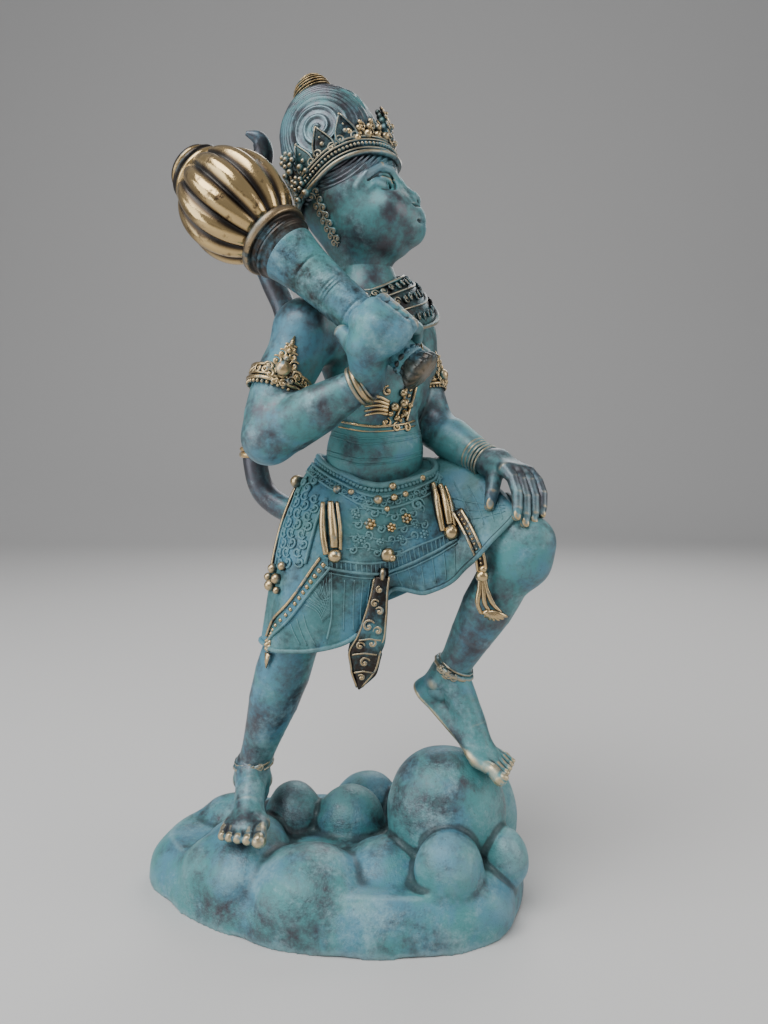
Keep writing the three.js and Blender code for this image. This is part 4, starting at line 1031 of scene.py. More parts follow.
for at, size in (((7, -21.4, 134.6), 1.8), ((29.1, -17.7, 136.3), 1.9), ((13.4, -20, 134), 1.5), ((20.6, -18.6, 135), 1.6),
                 ((5.4, -20, 143), 1.7), ((26, -17, 139.5), 1.4)):
    rosette(plain_trim, skirt_ground, at, size, 1.0)
spot, out = nearest(skirt_ground, (15.7, -19.6, 129.5))
gilt_trim.bead(spot[0] + out[0] * 0.4, out[0], 2.7, 1.7, 14, 6)
gilt_trim.bead(spot[0] + out[0] * 0.6 + [1.6, 0, -1.1], out[0], 1.5, 1.3, 10, 5)
spot, out = nearest(skirt_ground, (26.3, -16.4, 146.4))
plain_trim.scroll(spot[0] + out[0] * 0.4, out[0], (1, 0, 0), 2.6, 0.55, 1.8)
for row, (x_from, x_to, z) in enumerate(((3, 30, 144.4), (4, 31, 139.6), (3, 27, 135), (2, 22, 131))):
    bed = [(x, -21, z + 1.2 * np.sin(x * 0.25)) for x in np.linspace(x_from, x_to, 6)]
    vine(plain_trim, skirt_ground, bed, 8 - row, 1.7, 0.42, 0.4)

# The ribbed under-belt that slants up over the thigh
rim_high = [(-5.2, -22, 128.6), (1.4, -22, 127.4), (9, -21, 126.6), (16, -19.6, 127.2), (21, -18.1, 129.6),
            (27.7, -18.1, 132.5), (34.7, -17.5, 135.2), (39.5, -18.6, 138.2)]
rim_low = [(-5.2, -21.7, 125.2), (1.4, -21.8, 124), (9, -21, 123), (16, -18.6, 123), (22.1, -17.4, 125),
           (28.4, -18, 127.8), (34.7, -17.8, 131), (40.2, -19.3, 135)]
strip(plain_trim, skirt_ground, rim_high, 0.5, 0.7, 60)
strip(plain_trim, skirt_ground, rim_low, 0.7, 0.9, 60)
strip(plain_trim, skirt_ground, [(x, y, z - 1.6) for x, y, z in rim_low], 0.35, 0.5, 60)
for share in np.linspace(0.03, 0.97, 30):
    high_at = round_curve(rim_high, 61)[int(share * 60)]
    low_at = round_curve(rim_low, 61)[int(share * 60)]
    strip(plain_trim, skirt_ground, [high_at, (high_at + low_at) / 2, low_at], 0.36, 0.5, 5, sides=6)

# The two folded sash ends
for top, bottom, size in (((-3.4, -17, 146.4), (-3.0, -21.4, 129.6), 1.0), ((33.2, -12, 153), (37.4, -17.7, 137.4), 1.15)):
    top, bottom = np.array(top), np.array(bottom)
    middle = (top + bottom) / 2
    for aside, wide, share, lift in ((-1.5, 1.25, 1.0, 1.3), (1.2, 1.5, 0.86, 1.5), (3.1, 0.8, 0.9, 0.7)):
        shift = np.array([aside * size, 0, 0])
        strip(gilt_trim, skirt_ground, [top + shift, middle + shift * 1.15, top + (bottom - top) * share + shift],
              [wide * 0.8, wide, wide * 1.1, wide * 0.9], [1.6, 2.0, 2.1, 1.2], 26, lift, sides=12)
    spot, out = nearest(skirt_ground, bottom + [1.2 * size, 0, -0.4])
    gilt_trim.bead(spot[0] + out[0] * 1.2, out[0], 2.5 * size, 2.2, 14, 6)

# The side panel with its golden edge, boss and cluster
panel_left = [(-17, -3, 152.5), (-18.6, -5, 146), (-21.4, -5.6, 138), (-23, -7, 130), (-24.4, -8, 123.5)]
panel_right = [(-4.6, -16.6, 148.4), (-7.4, -17.6, 141), (-9.4, -18.6, 134), (-11.6, -19.4, 126)]
strip(gilt_trim, skirt_ground, panel_left, 0.7, 1.0, 34, 0.2)
strip(plain_trim, skirt_ground, [(x + 1.9, y - 1.6, z) for x, y, z in panel_left], 0.45, 0.6, 34)
strip(plain_trim, skirt_ground, panel_right, 0.7, 1.0, 34, 0.2)
for share, count, size in ((0.28, 8, 2.3), (0.55, 8, 2.4), (0.8, 8, 2.0)):
    left, right = round_curve(panel_left, 9), round_curve(panel_right, 9)
    vine(plain_trim, skirt_ground, left + (right - left) * share, count, size, 0.5, 0.45)
for at, size in (((-17.6, -4, 154.6), 2.6), ((-23.1, -9.8, 122.7), 1.9), ((-18.8, -14.8, 124.2), 1.7),
                 ((-24.4, -10.7, 116.8), 2.2), ((-21.2, -13.6, 119.6), 2.0), ((-26.4, -8.6, 119.6), 1.7),
                 ((-20.6, -15, 115.6), 1.4)):
    spot, out = nearest(skirt_ground, at)
    gilt_trim.bead(spot[0] + out[0] * 0.8, out[0], size, size * 1.1, 14, 7)
for at in ((-14.6, -9, 155), (-12.4, -12, 152.6), (-10.8, -13.4, 156)):
    spot, out = nearest(skirt_ground, at)
    plain_trim.scroll(spot[0] + out[0] * 0.5, out[0], (0.3, 0, 1), 1.9, 0.6, 1.5)

# The jewelled band that crosses the skirt to the flower above the knee
band_left = [(-6.6, -21, 128.4), (-10.8, -20.8, 122.4), (-14.8, -20, 116.6), (-20, -18, 109.4), (-25.6, -14.6, 102.4),
             (-27, -13.4, 99)]
band_right = [(-3.4, -21.9, 125.4), (-8, -21.6, 119.4), (-12.4, -21, 113.4), (-17.8, -20, 106.6), (-23, -17.4, 100.4),
              (-25.2, -15.6, 98.2)]
strip(gilt_trim, skirt_ground, band_left, 0.6, 0.9, 50, 0.2)
strip(plain_trim, skirt_ground, band_right, 0.6, 0.9, 50, 0.2)
left, right = round_curve(band_left, 31), round_curve(band_right, 31)
for row in range(1, 30, 2):
    spot, out = nearest(skirt_ground, (left[row] + right[row]) / 2)
    size = 1.25 - 0.012 * row
    gilt_trim.tube([spot[0] - out[0] * 0.3 + unit(right[row] - left[row]) * step * size for step in (-0.72, 0, 0.72)],
                   out[0], size * 0.72, [0.6, 0.95, 0.6], 8)
rosette(gilt_trim, skirt_ground, (-25.4, -15, 96.2), 2.9, 1.3, 7)
tip = np.array([-26.6, -14.6, 93])
gilt_trim.tube([tip, tip + [-0.5, 0.2, -3], tip + [-0.9, 0.6, -5.6]], (-0.6, -0.8, 0), [1.7, 1.0, 0.3], [0.9, 0.7, 0.3], 8)

# The netted field right of the band, and folds down to the hem
for line in range(9):
    share = line / 8
    strip(plain_trim, skirt_ground, [(-12.4 + 8.6 * share, -21.6, 114 + 9.5 * share), (-8 + 4 * share, -22.4, 112 + 4 * share),
                                     (-3.6, -22.8, 108.6 + 1.6 * line)], 0.22, 0.34, 12, sides=6)
    strip(plain_trim, skirt_ground, [(-4 - 9 * share, -22, 121 - 8.6 * share), (-4 - 4 * share, -22.6, 114 - 4 * share),
                                     (-3.8 - 2.6 * share, -23, 108.8 - 2.6 * share)], 0.22, 0.34, 12, sides=6)
strip(plain_trim, skirt_ground, [(-3.2, -22, 123.6), (-3.2, -22.8, 116), (-3.4, -23, 107), (-5, -23, 100)], 0.4, 0.5, 30)
for shift in (0, 2.6, 5.2):
    strip(plain_trim, skirt_ground, [(-17.6 + shift, -20.6, 105 + shift * 0.7), (-16.4 + shift, -21.4, 102 + shift * 0.4),
                                     (-14 + shift, -22, 98)], 0.26, 0.36, 14, sides=6)
for x_at in (1.4, 4.6, 7.6, 10.6):
    strip(plain_trim, skirt_ground, [(x_at, -22, 121), (x_at - 0.4, -22, 112), (x_at - 0.6, -21, 103)], 0.24, 0.34, 20,
          sides=6)
for shift in range(6):
    strip(plain_trim, skirt_ground, [(19 + 4.2 * shift, -17, 124.4 + 1.7 * shift), (20 + 4.2 * shift, -17, 120.6 + 1.3 * shift),
                                     (21.4 + 4 * shift, -17.4, 117.4 + 1.5 * max(shift - 2, 0))], 0.24, 0.34, 14, sides=6)
for share in (0.28, 0.5, 0.72, 0.9):
    strip(plain_trim, skirt_ground, [(34 + 22 * share, -9 - 5 * share, 157 - 8 * share),
                                     (37 + 20 * share, -16 - 6 * share, 150 - 5 * share),
                                     (41 + 16 * share, -21 - 4 * share, 138 + 5 * share)], 0.26, 0.36, 22, sides=6)
for share in (0.2, 0.45, 0.7):
    strip(plain_trim, skirt_ground, [(36, -12 - 7 * share, 153 - 13 * share), (46, -16 - 6 * share, 150 - 11 * share),
                                     (57, -20 - 3 * share, 147 - 4 * share)], 0.22, 0.32, 22, sides=6)
hem_path = skirt_outside[-1][::3]
hem_out = unit((hem_path - [9, 0, 0]) * [1, 1, 0] + [0, 0, -8])
plain_trim.tube(hem_path + [0, 0, 0.4], hem_out, 0.95, 0.95, 8, True)
plain_trim.piece("skirt_trim", "figure", "bronze_figure", cloth_patina)

# The ribbon over the thigh, knotted above a tassel that hangs beside the knee
ribbon_path = [(40.6, -17.6, 144.6), (43.4, -20.6, 139.6), (46, -23.6, 134), (48, -24.6, 129), (48.8, -24.4, 124.6)]
for aside in (-1.5, 1.5):
    edge = round_curve([(x + aside * 0.9, y - 0.4 * aside, z + aside * 0.35) for x, y, z in ribbon_path], 26)
    gilt_trim.tube(edge, (-0.5, -0.85, 0.2), 0.62, 0.8, 8)
ribbon_middle = round_curve(ribbon_path, 26) + [0.2, 0.5, 0]
gilt_trim.tube(ribbon_middle, (-0.5, -0.85, 0.2), 1.6, 0.7, 8, wear=0.3)
for row in range(2, 24, 2):
    gilt_trim.bead(ribbon_middle[row] + [-0.3, -0.7, 0.1], (-0.5, -0.85, 0.2), 0.62, 0.6, 8, 4)
knot = np.array([48.8, -24.2, 122.4])
gilt_trim.bead(knot, (-0.2, -1, 0.1), 2.3, 1.9, 14, 7)
gilt_trim.bead(knot + [0.3, -0.3, 2.6], (-0.2, -1, 0.1), 1.5, 1.5, 12, 6)
for aside, sweep in ((-1.5, 0.0), (0.3, 1.4), (2.0, 3.4)):
    strand = [knot + [aside * 0.5, -0.2, -1], knot + [aside * 0.8 + 0.2, -0.4, -5], knot + [aside + sweep * 0.5, -0.4, -9.4],
              knot + [aside + 1.4 + sweep, 0, -13]]
    gilt_trim.tube(round_curve(strand, 18), (-0.3, -0.95, 0), [0.8] * 6 + [1.0] * 6 + [0.8] * 6, 0.9, 8)
for lobe in range(7):
    fan = np.radians(-150 + lobe * 17)
    root = knot + [2.6, -0.6, -12]
    tip_at = root + np.array([np.cos(fan) * 5.4 + 2.4, 0.6, np.sin(fan) * 4.6 + 1.4])
    gilt_trim.tube(round_curve([root, (root + tip_at) / 2 + [0, -0.8, 0], tip_at], 8), (-0.1, -1, 0.1),
                   [0.5, 0.8, 1.0, 1.1, 1.1, 1.0, 0.8, 0.4], 0.9, 8)
gilt_trim.piece("gilt_hangings", "figure", "bronze_figure", gilt_patina)

# The leaf-shaped pendant between the legs, dark brown with golden scrolls
PENDANT_LINE = [(14.3, -20.6, 121.4), (13.6, -21.4, 117), (12.9, -21.8, 112.6), (12.2, -22, 108.6), (10.4, -22, 100.6),
                (8.6, -21.4, 96.6), (8.0, -20.6, 88.6), (6.2, -19.8, 81.6)]
PENDANT_WIDTHS = (2.9, 3.0, 3.6, 4.4, 5.6, 6.1, 4.6, 0.5)
pendant = Casting()
pendant_path = round_curve(PENDANT_LINE, 60)
pendant_share = np.linspace(0, 1, 60)
pendant_wide = np.interp(pendant_share, np.linspace(0, 1, 8), PENDANT_WIDTHS)
PENDANT_OUT = unit((-0.12, -1, 0.1))
pendant.tube(pendant_path, PENDANT_OUT, pendant_wide, 1.1 + 0.4 * np.sin(np.pi * pendant_share), 24, wear=0.35)
for side in (-1, 1):
    edge = pendant_path + np.array([0.97, -0.12, 0.12]) * side * (pendant_wide * 0.93)[:, None] + PENDANT_OUT * 0.5
    pendant.tube(edge[::2], PENDANT_OUT, 0.5, 0.7, 8)
for share, aside, radius, hand, heading in ((0.13, 0, 1.2, 1, (0, 0, 1)), (0.26, -0.9, 1.5, 1, (1, 0, 0.4)),
                                            (0.34, 1.2, 1.5, -1, (-1, 0, 0.6)), (0.46, -1.6, 2.3, 1, (1, 0, 0.5)),
                                            (0.50, 2.0, 1.7, -1, (-1, 0, -0.2)), (0.62, 1.6, 2.0, -1, (-1, 0, 0.4)),
                                            (0.66, -2.0, 1.6, 1, (1, 0, 0)), (0.78, 0.2, 1.9, 1, (1, 0, 0.3)),
                                            (0.90, -0.2, 1.2, -1, (-1, 0, 0.4))):
    spot = pendant_path[int(share * 59)] + [aside, 0, 0] + PENDANT_OUT * 1.35
    pendant.scroll(spot, PENDANT_OUT, heading, radius, 0.62, 1.25, hand)
for share in (0.56, 0.72, 0.85):
    row = int(share * 59)
    bar = [pendant_path[row] + np.array([step * pendant_wide[row] * 0.7, 0, -0.5 * abs(step)]) + PENDANT_OUT * 1.2
           for step in (-1, -0.5, 0, 0.5, 1)]
    pendant.tube(round_curve(bar, 14), PENDANT_OUT, 0.45, 0.7, 8)
pendant.tube([(14.6, -20.4, 124.6), (14.6, -20.8, 122.6), (14.4, -21, 120.4)], PENDANT_OUT, [1.9, 2.1, 1.9], 1.3, 4)
pendant_patina = patina("patina_on_pendant", dark=(0.036, 0.025, 0.019), cover=0.25, powder=0.15, rub=(0.72, 0.95),
                        gold=(0.52, 0.36, 0.17), shine=0.30)
pendant.piece("pendant", "figure", "bronze_figure", pendant_patina)

# The crown
# A diadem of leaves round a dome of hair whose locks coil at the sides, with a ribbed cap on top.
DOME_PROFILE = [(0, 17.0), (4, 18.6), (9, 18.0), (14, 17.8), (21, 17.6), (28.5, 16.4), (33, 14.6), (37, 11.4), (40, 8.2),
                (41.5, 6.0)]
COIL_AT = (1.1, 20.9)
COIL_PITCH = 3.3
COIL_RADIUS = 10.5


def crown_dome(rows=230, columns=420):
    """Height and angle to a point of the dome, its radius raised by ridges: a spiral round each coil, whose ridge
    is the cosine of the distance from the coil's eye less the turn, and strands that sweep up over it."""
    profile = round_curve(np.concatenate([np.asarray(DOME_PROFILE, float), np.zeros((len(DOME_PROFILE), 1))], 1), rows)
    height, radius = profile[:, :1], profile[:, 1:2]
    angle = np.linspace(0, 2 * np.pi, columns, endpoint=False)[None]
    left = radius * 0.96 * np.sin(angle)
    front = radius * 1.02 * np.cos(angle)
    side = np.abs(np.sin(angle))
    away = np.hypot(front - COIL_AT[0], height - COIL_AT[1])
    turning = np.arctan2(height - COIL_AT[1], front - COIL_AT[0])
    inside = np.clip((COIL_RADIUS - away) / 1.2, 0, 1) * np.clip((side - 0.35) * 5, 0, 1)
    spiral = np.abs(np.cos(np.pi * away / COIL_PITCH - turning / 2)) ** 6
    strands = np.abs(np.cos(np.pi * (away - COIL_RADIUS) / 1.25)) ** 2
    over = np.clip(away / COIL_RADIUS - 1, 0, 1) * np.clip(side * 2.5, 0, 1)
    crest = np.abs(np.cos(angle * 16 + height * 0.05)) ** 2 * np.clip(1 - side * 1.6, 0, 1)
    relief = inside * (0.4 + 0.75 * spiral) + np.clip(over * 4, 0, 1) * (1 - inside) * 0.38 * strands + 0.35 * crest
    radius = radius + relief * np.clip((41.5 - height) / 3, 0, 1)
    # The ground between the locks gets a lower value, painted darker as shade, and the raised locks a higher one,
    # painted paler as a highlight.
    wear = 0.35 + 0.5 * np.clip(relief / 1.1, 0, 1)
    points = HEAD.points(np.stack([radius * 0.96 * np.sin(angle), radius * 1.02 * np.cos(angle),
                                   height + 0 * angle], -1).reshape(-1, 3))
    return points.reshape(rows, columns, 3), wear


dome = Casting()
dome.skin(*crown_dome())
hair_patina = patina("patina_on_hair", cover=0.42, powder=0.35, rub=(0.93, 1.1), shine=0.30)
dome_piece = dome.piece("crown_dome", "figure", "bronze_figure", hair_patina)

cap = Casting()
cap_height = np.linspace(39.5, 47.2, 90)
cap_radius = 7.2 * np.sqrt(np.clip(1 - ((cap_height - 40) / 7.6) ** 2, 0.02, 1)) + 0.42 * np.cos(cap_height * 5.4)
cap_angle = np.linspace(0, 2 * np.pi, 72, endpoint=False)
cap_rings = HEAD.points(np.stack([cap_radius[:, None] * np.sin(cap_angle), 0.6 + cap_radius[:, None] * np.cos(cap_angle),
                                  cap_height[:, None] + 0.6 * np.cos(cap_angle)], -1).reshape(-1, 3))
# Low in the grooves between the ribs, painted dark as shade; high on the ribs, painted pale as a highlight and rubbed
# gold.
cap.skin(cap_rings.reshape(90, 72, 3), (0.6 + 0.4 * np.cos(cap_height * 5.4))[:, None])
cap.piece("crown_cap", "figure", "bronze_figure", gilt_patina)

# Diadem, ear ornaments and the curls before the ears
# Wax threads, pellets and cut leaves built up on the hair: two rims with a pearl row, a tall scrolled front,
# upright leaves round the rest, and flower studs where the diadem ends.
head_ground = ground(dome_piece, head_piece)
RIM = [(0, 19.8, 5), (9.4, 17.4, 5.6), (15.8, 10.6, 6.6), (18.4, 2, 6), (17.6, -7, 3.6), (12, -15.4, 2), (0, -18.6, 1.6)]
rim_line = RIM + [(-left, front, up) for left, front, up in RIM[-2:0:-1]]
diadem = Casting()
ornament_patina = patina("patina_on_ornament", dark=(0.032, 0.028, 0.028), cover=0.45, powder=0.35, rub=(0.74, 0.98),
                         gold=(0.50, 0.37, 0.20), shine=0.32)


def round_head(up, grow=0.0, count=140):
    """The rim's line lifted along the head and grown outwards, with the directions out of the head."""
    line = round_curve([(left, front, high + up) for left, front, high in rim_line], count, True)
    away = unit(line * [1, 1, 0])
    line = line + away * grow
    return HEAD.points(line), (away * [1, -1, 1]) @ HEAD.turning.T


for up, grow, wide, high in ((0, 0.5, 0.95, 1.2), (1.7, 0.2, 0.45, 0.7), (4.6, 0.3, 0.5, 0.8), (5.8, 0.1, 0.5, 1.0)):
    path, away = round_head(up, grow)
    diadem.tube(path, away, wide, high, 8, True)
path, away = round_head(3.2, -0.6)
diadem.tube(path, away, 2.6, 1.0, 8, True, wear=0.25)
path, away = round_head(3.15, 0.5, 84)
for at, out in zip(path, away):
    diadem.bead(at, out, 0.78, 0.95, 8, 4)


def crown_leaf(turn, width, height, lean=0.12, studded=True):
    """An upright leaf: a plate that narrows to its tip, with a rim of thread, two scrolls at its foot and studs."""
    angle = np.radians(turn)
    foot_up = np.interp(abs((turn + 180) % 360 - 180), (0, 50, 110, 180), (11.2, 12.2, 9.4, 7.4))
    radius = np.interp(abs((turn + 180) % 360 - 180), (0, 90, 180), (19.6, 18.6, 18.2))
    away_local = np.array([np.sin(angle), np.cos(angle), 0])
    share = np.linspace(0, 1, 9)
    spine = away_local * (radius * np.array([0.98, 1.0, 1]) + 0) + np.outer(share, away_local) * height * lean \
        + np.outer(share, [0, 0, height]) + [0, 0, foot_up]
    spine = HEAD.points(spine)
    out = (away_local * [1, -1, 1]) @ HEAD.turning.T
    widths = width * np.array([0.86, 1.0, 1.02, 0.95, 0.82, 0.64, 0.44, 0.24, 0.06])
    diadem.tube(spine, out, widths, 0.7, 10, wear=0.3)
    across = np.cross(unit(spine[-1] - spine[0]), out)
    for side in (-1, 1):
        diadem.tube(spine + across * side * (widths * 0.92)[:, None] + out * 0.35, out, 0.42, 0.75, 6)
        diadem.scroll(spine[1] + across * side * width * 0.62 + out * 0.6, out, across * side, width * 0.42, 0.42, 1.3,
                      side)
    diadem.bead(spine[-1], out, 0.85, 0.9, 8, 5)
    if studded:
        diadem.bead(spine[3] + out * 0.5, out, 1.05, 1.1, 10, 5)
        diadem.bead(spine[5] + out * 0.5, out, 0.6, 0.7, 8, 4)


for turn in (62, 88, 114, 140, 164, 196, 220, 246, 272, 298):
    crown_leaf(turn, 4.2, 9.4)
diadem_piece = diadem.piece("diadem", "figure", "bronze_figure", ornament_patina)

front_work = Casting()


def on_brow(turn, up, radius):
    """A place in front of the crown, from its turn off the front, its height and its distance from the axis."""
    angle = np.radians(turn)
    away_local = np.array([np.sin(angle), np.cos(angle), 0])
    return HEAD.point(*(away_local * radius + [0, 0, up])), (away_local * [1, -1, 1]) @ HEAD.turning.T


up_of_head = HEAD.turning @ np.array([0, 0, 1.0])
for turn, up, radius, size in ((14, 12.6, 20.4, 1.5), (27, 12.4, 20.2, 1.3), (39, 12.6, 19.8, 1.7), (51, 12.0, 19.2, 1.4),
                               (20, 15.6, 20.2, 1.3), (33, 15.6, 19.8, 1.2), (46, 15.4, 19.2, 1.2), (57, 15.0, 18.6, 1.4),
                               (26, 18.2, 19.4, 1.0), (41, 17.8, 19.0, 0.9)):
    for side in (-1, 1):
        at, out = on_brow(side * turn, up, radius)
        front_work.bead(at, out, size, size * 1.2, 12, 6)
for turn, up, radius, size in ((20, 13.4, 19.8, 2.2), (33, 13.6, 19.5, 2.1), (45, 13.4, 19.0, 2.1), (27, 16.6, 19.4, 1.9),
                               (40, 16.4, 18.8, 1.8), (14, 17.2, 19.8, 1.9), (54, 13.2, 18.6, 2.0)):
    for side in (-1, 1):
        at, out = on_brow(side * turn, up, radius)
        front_work.scroll(at, out, up_of_head, size, 0.55, 1.4, side)
for step, (up, size, reach) in enumerate(((10.8, 3.0, 20.2), (13.8, 3.0, 20.9), (16.8, 2.7, 21.5), (19.6, 2.2, 21.8),
                                          (22.0, 1.6, 21.7), (23.8, 1.1, 21.4))):
    at, out = on_brow(0, up, reach)
    front_work.bead(at - out * 1.2, out, size, size * 0.9, 12, 6, (0.1, 0.6))
    for side in (-1, 1):
        across = HEAD.turning @ np.array([side, 0, 0.0])
        front_work.scroll(at + across * size * 0.62 + out * 0.5, out, across - up_of_head * 0.4, size * 0.72, 0.55, 1.3, side)
    if step % 2 == 0:
        front_work.bead(at + out * 1.1, out, size * 0.42, size * 0.5, 10, 5)
front_work.piece("diadem_front", "figure", "bronze_figure", gilt_patina)

ear_work = Casting()
for side in (-1, 1):
    out = HEAD.turning @ unit(np.array([side, 0.25, 0.05]))
    for left, front, up, size in ((17.6, -13.2, 15.6, 3.3), (17.4, -13.0, 6.6, 3.0)):
        at = HEAD.point(side * left, front, up)
        heading = unit(np.cross(out, up_of_head))
        for petal in range(7):
            turn = 2 * np.pi * petal / 7
            arm = heading * np.cos(turn) + np.cross(out, heading) * np.sin(turn)
            ear_work.bead(at + arm * size * 0.66, out, size * 0.36, 1.1, 8, 5)
        ear_work.bead(at - out * 0.6, out, size * 0.8, 1.3, 12, 5, (0.1, 0.4))
        ear_work.bead(at + out * 0.7, out, size * 0.38, 1.2, 10, 5)
    for left, front, up, size in ((18.2, -9.6, 11.0, 1.2), (18.4, -8.0, 8.8, 1.1), (17.8, -11.2, 2.2, 1.5),
                                  (17.6, -14.6, 1.2, 1.2), (17.8, -13.6, 11.2, 1.3), (17.2, -15.8, 11.0, 1.2)):
        ear_work.bead(HEAD.point(side * left, front, up), out, size, size * 1.2, 10, 6)
    for row in range(7):
        for column in range(2):
            at = HEAD.point(side * (16.8 - row * 0.35), -8.0 - column * 3.2 - row * 0.15, 1.6 - row * 2.9 - column * 1.2)
            spot, normal = nearest(head_ground, at)
            ear_work.scroll(spot[0] + normal[0] * 0.3, normal[0], -up_of_head, 1.55, 0.5, 1.5, side * (1 - 2 * column))
ear_work.piece("ear_ornaments_and_curls", "figure", "bronze_figure", ornament_patina)

# Collar, chest strap and jewel
# A broad collar of chased plates lies on the shoulders; a strap with a winged jewel crosses the chest.
torso_ground = ground(torso_piece)
COLLAR_INNER = [(17.6, -5.6, 225), (20.6, 1, 228), (18.6, 8.5, 229), (10, 13.6, 229), (0.5, 10, 228), (-3, 2.6, 226),
                (0.6, -5.6, 223), (9, -9, 221)]
COLLAR_OUTER = [(25.4, -8.6, 208), (33.4, 5, 213), (30.6, 17, 221), (14, 24, 218), (-6, 18, 214), (-14, -2, 216),
                (-8, -17, 212), (10, -16, 204)]
collar_in = round_curve(COLLAR_INNER, 120, True)
collar_out = round_curve(COLLAR_OUTER, 120, True)
neck_axis = np.array([9.0, 2.5, 212])
collar_trim = Casting()
collar_rows = []
for share, lift in ((0, -0.8), (0, 0.7), (0.1, 1.3), (0.3, 1.2), (0.5, 1.4), (0.7, 1.2), (0.9, 1.5), (1, 0.9), (1, -0.8)):
    ring = collar_in + (collar_out - collar_in) * share
    ring = ring + [0, 0, 2.2 * np.sin(np.pi * share)]
    collar_rows.append(ring + unit((ring - neck_axis) * [1, 1, 1]) * lift)
collar_trim.skin(np.array(collar_rows), np.array([0.2, 0.4, 0.6, 0.45, 0.5, 0.45, 0.6, 0.4, 0.2])[:, None])


def collar_path(share, lift, count=120):
    """A line round the collar at a share of its breadth, and the directions away from the neck."""
    ring = collar_in + (collar_out - collar_in) * share + [0, 0, 2.2 * np.sin(np.pi * share)]
    away = unit(ring - neck_axis)
    picked = np.linspace(0, 120, count, endpoint=False).astype(int)
    return (ring + away * lift)[picked], away[picked]


for share, wide, high in ((0.04, 0.6, 0.9), (0.33, 0.45, 0.7), (0.66, 0.45, 0.7), (0.97, 0.8, 1.1)):
    path, away = collar_path(share, 1.5)
    collar_trim.tube(path, away, wide, high, 8, True)
for share, count, size in ((0.18, 30, 1.5), (0.5, 34, 1.8), (0.82, 40, 1.6)):
    path, away = collar_path(share, 1.7, count)
    for row, (at, out) in enumerate(zip(path, away)):
        along = unit(path[(row + 1) % count] - path[row])
        collar_trim.scroll(at, out, along, size, 0.45, 1.4, 1 if row % 2 else -1)
collar_trim.piece("collar", "figure", "bronze_figure", ornament_patina)

jewel = Casting()
STRAP = [(27.5, -2, 205), (27.6, -5.6, 196), (25.6, -8, 188), (24.4, -9, 181), (22.5, -10.3, 176)]
strip(jewel, torso_ground, STRAP, 0.6, 0.9, 40, 0.2)
strip(jewel, torso_ground, [(x - 4.2, y - 2.6, z) for x, y, z in STRAP], 0.6, 0.9, 40, 0.2)
studs(jewel, torso_ground, [(x - 2.1, y - 1.4, z) for x, y, z in STRAP], 15, 0.9, 0.9, 0.2)
for at, size in (((18.4, -13.6, 181), 1.7), ((21.6, -11.8, 182.4), 1.8), ((20.8, -12.2, 186), 1.5), ((22.4, -11, 178.6), 1.4),
                 ((19.4, -13, 177), 1.2), ((17.4, -14.6, 178.4), 1.1), ((24.2, -9.4, 181.6), 1.2)):
    spot, out = nearest(torso_ground, at)
    jewel.bead(spot[0] + out[0] * 0.5, out[0], size, size * 1.15, 12, 6)
for feather in range(5):
    lean = feather * 1.5
    strip(jewel, torso_ground, [(16.6, -15, 182.6 - feather * 1.1), (12.4, -16.4, 184.6 - lean), (8.2, -17, 184.8 - lean * 1.25)],
          [0.7, 0.6, 0.3], [0.8, 0.7, 0.3], 16, 0.1)
for at, hand in (((15.4, -15.4, 186.4), 1), ((22.8, -10.8, 173.8), -1), ((19.2, -13.2, 173.6), 1), ((15.8, -15.4, 175.4), -1)):
    spot, out = nearest(torso_ground, at)
    jewel.scroll(spot[0] + out[0] * 0.3, out[0], (0.4, -0.2, 1), 1.8, 0.5, 1.4, hand)
CHEST_BAND = [(26.6, -7, 176.4), (20.6, -12.6, 174.6), (13.6, -15.8, 174), (5, -16.6, 174.6), (-2, -12.6, 176)]
strip(jewel, torso_ground, CHEST_BAND, 0.5, 0.7, 46, 0.1)
strip(jewel, torso_ground, [(x, y, z - 1.8) for x, y, z in CHEST_BAND], 0.3, 0.4, 46, 0.05)
jewel.piece("chest_jewel", "figure", "bronze_figure", gilt_patina)

belly_lines = Casting()
for height, dip in ((171.4, 1.4), (169.6, 1.6), (164.2, 1.8), (162.6, 2.0)):
    strip(belly_lines, torso_ground, [(-4.4, -8, height + 1.2), (0, -14, height), (7, -17, height - dip),
                                      (15, -16.8, height - dip * 0.8), (24, -11, height), (29, -3, height + 1.6)],
          0.36, 0.42, 50, 0.0, wear=0.4)
belly_lines.piece("belly_folds", "figure", "bronze_figure", body_patina)

# Armlets, bracelets and anklets
# Bands with curls and a peak on the upper arms, plain rings on the wrists, rolled rings on the ankles.
armlets = Casting()


def ring_round(at, axis, radius, count=48, start=(0, -1, 0)):
    """A circle round an axis, with the directions away from it; it starts on the side nearest to start."""
    axis = unit(axis)
    first = unit(np.array(start, float) - axis * np.dot(start, axis))
    second = np.cross(axis, first)
    turn = np.linspace(0, 2 * np.pi, count, endpoint=False)[:, None]
    away = first * np.cos(turn) + second * np.sin(turn)
    return np.asarray(at, float) + away * radius, away


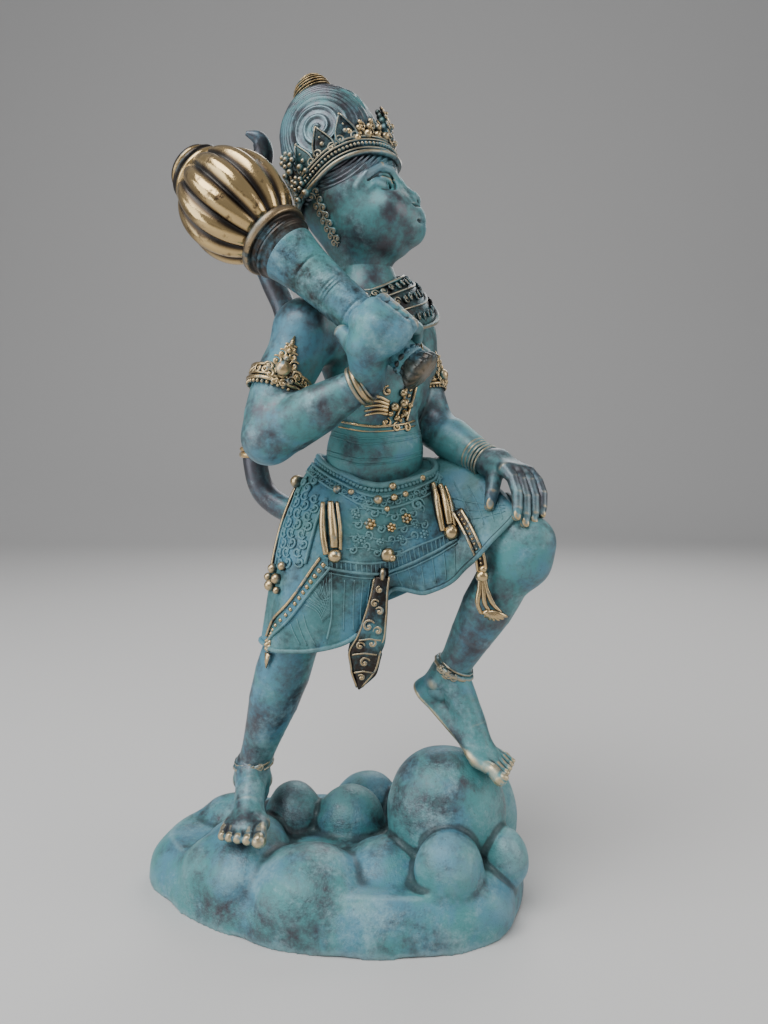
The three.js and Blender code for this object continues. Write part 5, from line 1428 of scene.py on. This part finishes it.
for at, axis, radius, peak_side, grow in (((-20.2, -23.6, 188.6), RIGHT_SHOULDER - RIGHT_ELBOW, 9.9, (0.15, -1, 0.1), 1.0),
                                          ((30.6, 12.6, 190.4), LEFT_SHOULDER - LEFT_ELBOW, 7.2, (0.9, -0.5, 0), 0.8)):
    axis = unit(axis)
    for shift, wide, high in ((-2.6, 0.8, 1.1), (-1.1, 0.4, 0.7), (2.0, 0.6, 0.9)):
        path, away = ring_round(np.array(at) + axis * shift * grow, axis, radius + 0.2, start=peak_side)
        armlets.tube(path, away, wide * grow, high * grow, 8, True)
    path, away = ring_round(np.array(at) + axis * 0.4 * grow, axis, radius + 0.5, 22, peak_side)
    for row, (spot, out) in enumerate(zip(path, away)):
        armlets.scroll(spot, out, axis, 1.9 * grow, 0.5 * grow, 1.4, 1 if row % 2 else -1)
    path, away = ring_round(np.array(at) + axis * -3.9 * grow, axis, radius + 0.1, 34, peak_side)
    for spot, out in zip(path, away):
        armlets.bead(spot, out, 0.75 * grow, 0.8 * grow, 8, 4)
    front, front_out = ring_round(np.array(at) + axis * 2.0 * grow, axis, radius + 0.6, 36, peak_side)
    front, front_out = front[0], front_out[0]
    aside = np.cross(axis, front_out)
    armlets.bead(front + front_out * 0.8 - axis * 0.4, front_out, 2.7 * grow, 2.1 * grow, 14, 7)
    for row, (up, out_of_line, size) in enumerate(((1.6, 2.9, 1.9), (4.4, 1.9, 1.7), (7.0, 1.0, 1.4))):
        for side in (-1, 1):
            armlets.scroll(front + axis * up * grow + aside * side * out_of_line * grow + front_out * 0.2, front_out,
                           axis + aside * side, size * grow, 0.55 * grow, 1.4, side)
        armlets.bead(front + axis * (up + 1.6) * grow + front_out * 0.5, front_out, (1.3 - 0.2 * row) * grow,
                     1.3 * grow, 10, 5)
    armlets.tube([front + axis * up * grow for up in (6, 9, 11.6)], front_out, [1.6, 1.0, 0.3], [0.9, 0.7, 0.3], 8)
    for side in (-1, 1):
        for step, (up, out_of_line) in enumerate(((-3.2, 3.6), (-4.8, 1.6), (-1.0, 4.6))):
            armlets.scroll(front + axis * up * grow + aside * side * out_of_line * grow, front_out, aside * side, 1.7 * grow,
                           0.55 * grow, 1.4, side)
armlets.piece("armlets", "figure", "bronze_figure", gilt_patina)

rings = Casting()
forearm = unit(RIGHT_WRIST - RIGHT_ELBOW)
for shift, radius, wide, high, wear in ((-4.4, 5.9, 0.9, 1.0, None), (-2.6, 6.0, 1.0, 1.3, 0.98), (-1.1, 5.8, 0.6, 0.8, None)):
    path, away = ring_round(RIGHT_WRIST + forearm * shift, forearm + [0.2, 0, 0.1], radius, 56)
    rings.tube(path, away, wide, high, 10, True, wear)
forearm = unit(LEFT_WRIST - LEFT_ELBOW)
for shift, radius, thick in ((-6.6, 5.6, 0.7), (-5.0, 5.5, 0.6), (-3.5, 5.4, 0.6), (-2.0, 5.4, 0.65), (-0.5, 5.4, 0.7)):
    path, away = ring_round(LEFT_WRIST + forearm * shift, forearm, radius, 56)
    rings.tube(path, away, thick, thick * 1.2, 8, True)
rings.piece("bracelets", "figure", "bronze_figure", ornament_patina)

anklets = Casting()
for at, axis, start in ((RIGHT_ANKLE + [0.4, 0.5, 2.6], (-0.28, -0.1, 1), (0, -1, 0)),
                        (LEFT_ANKLE + [1.2, 0, 1.6], (0.46, -0.25, 0.9), (-0.5, -1, 0))):
    for shift, radius, wide, high in ((0, 6.7, 1.3, 1.5), (-2.2, 6.5, 0.8, 1.0), (1.8, 6.4, 0.6, 0.8)):
        path, away = ring_round(np.array(at) + unit(axis) * shift, axis, radius, 56, start)
        twist = 1 + 0.10 * np.cos(np.linspace(0, 2 * np.pi * 14, 56, endpoint=False))
        anklets.tube(path, away, wide * twist, high * twist, 10, True)
    path, away = ring_round(np.array(at) + unit(axis) * -0.3, axis, 7.6, 30, start)
    for row in (-2, -1, 0, 1, 2):
        anklets.scroll(path[row], away[row], axis, 1.6, 0.55, 1.4, 1 if row % 2 else -1)
anklets.piece("anklets", "figure", "bronze_figure", ornament_patina)
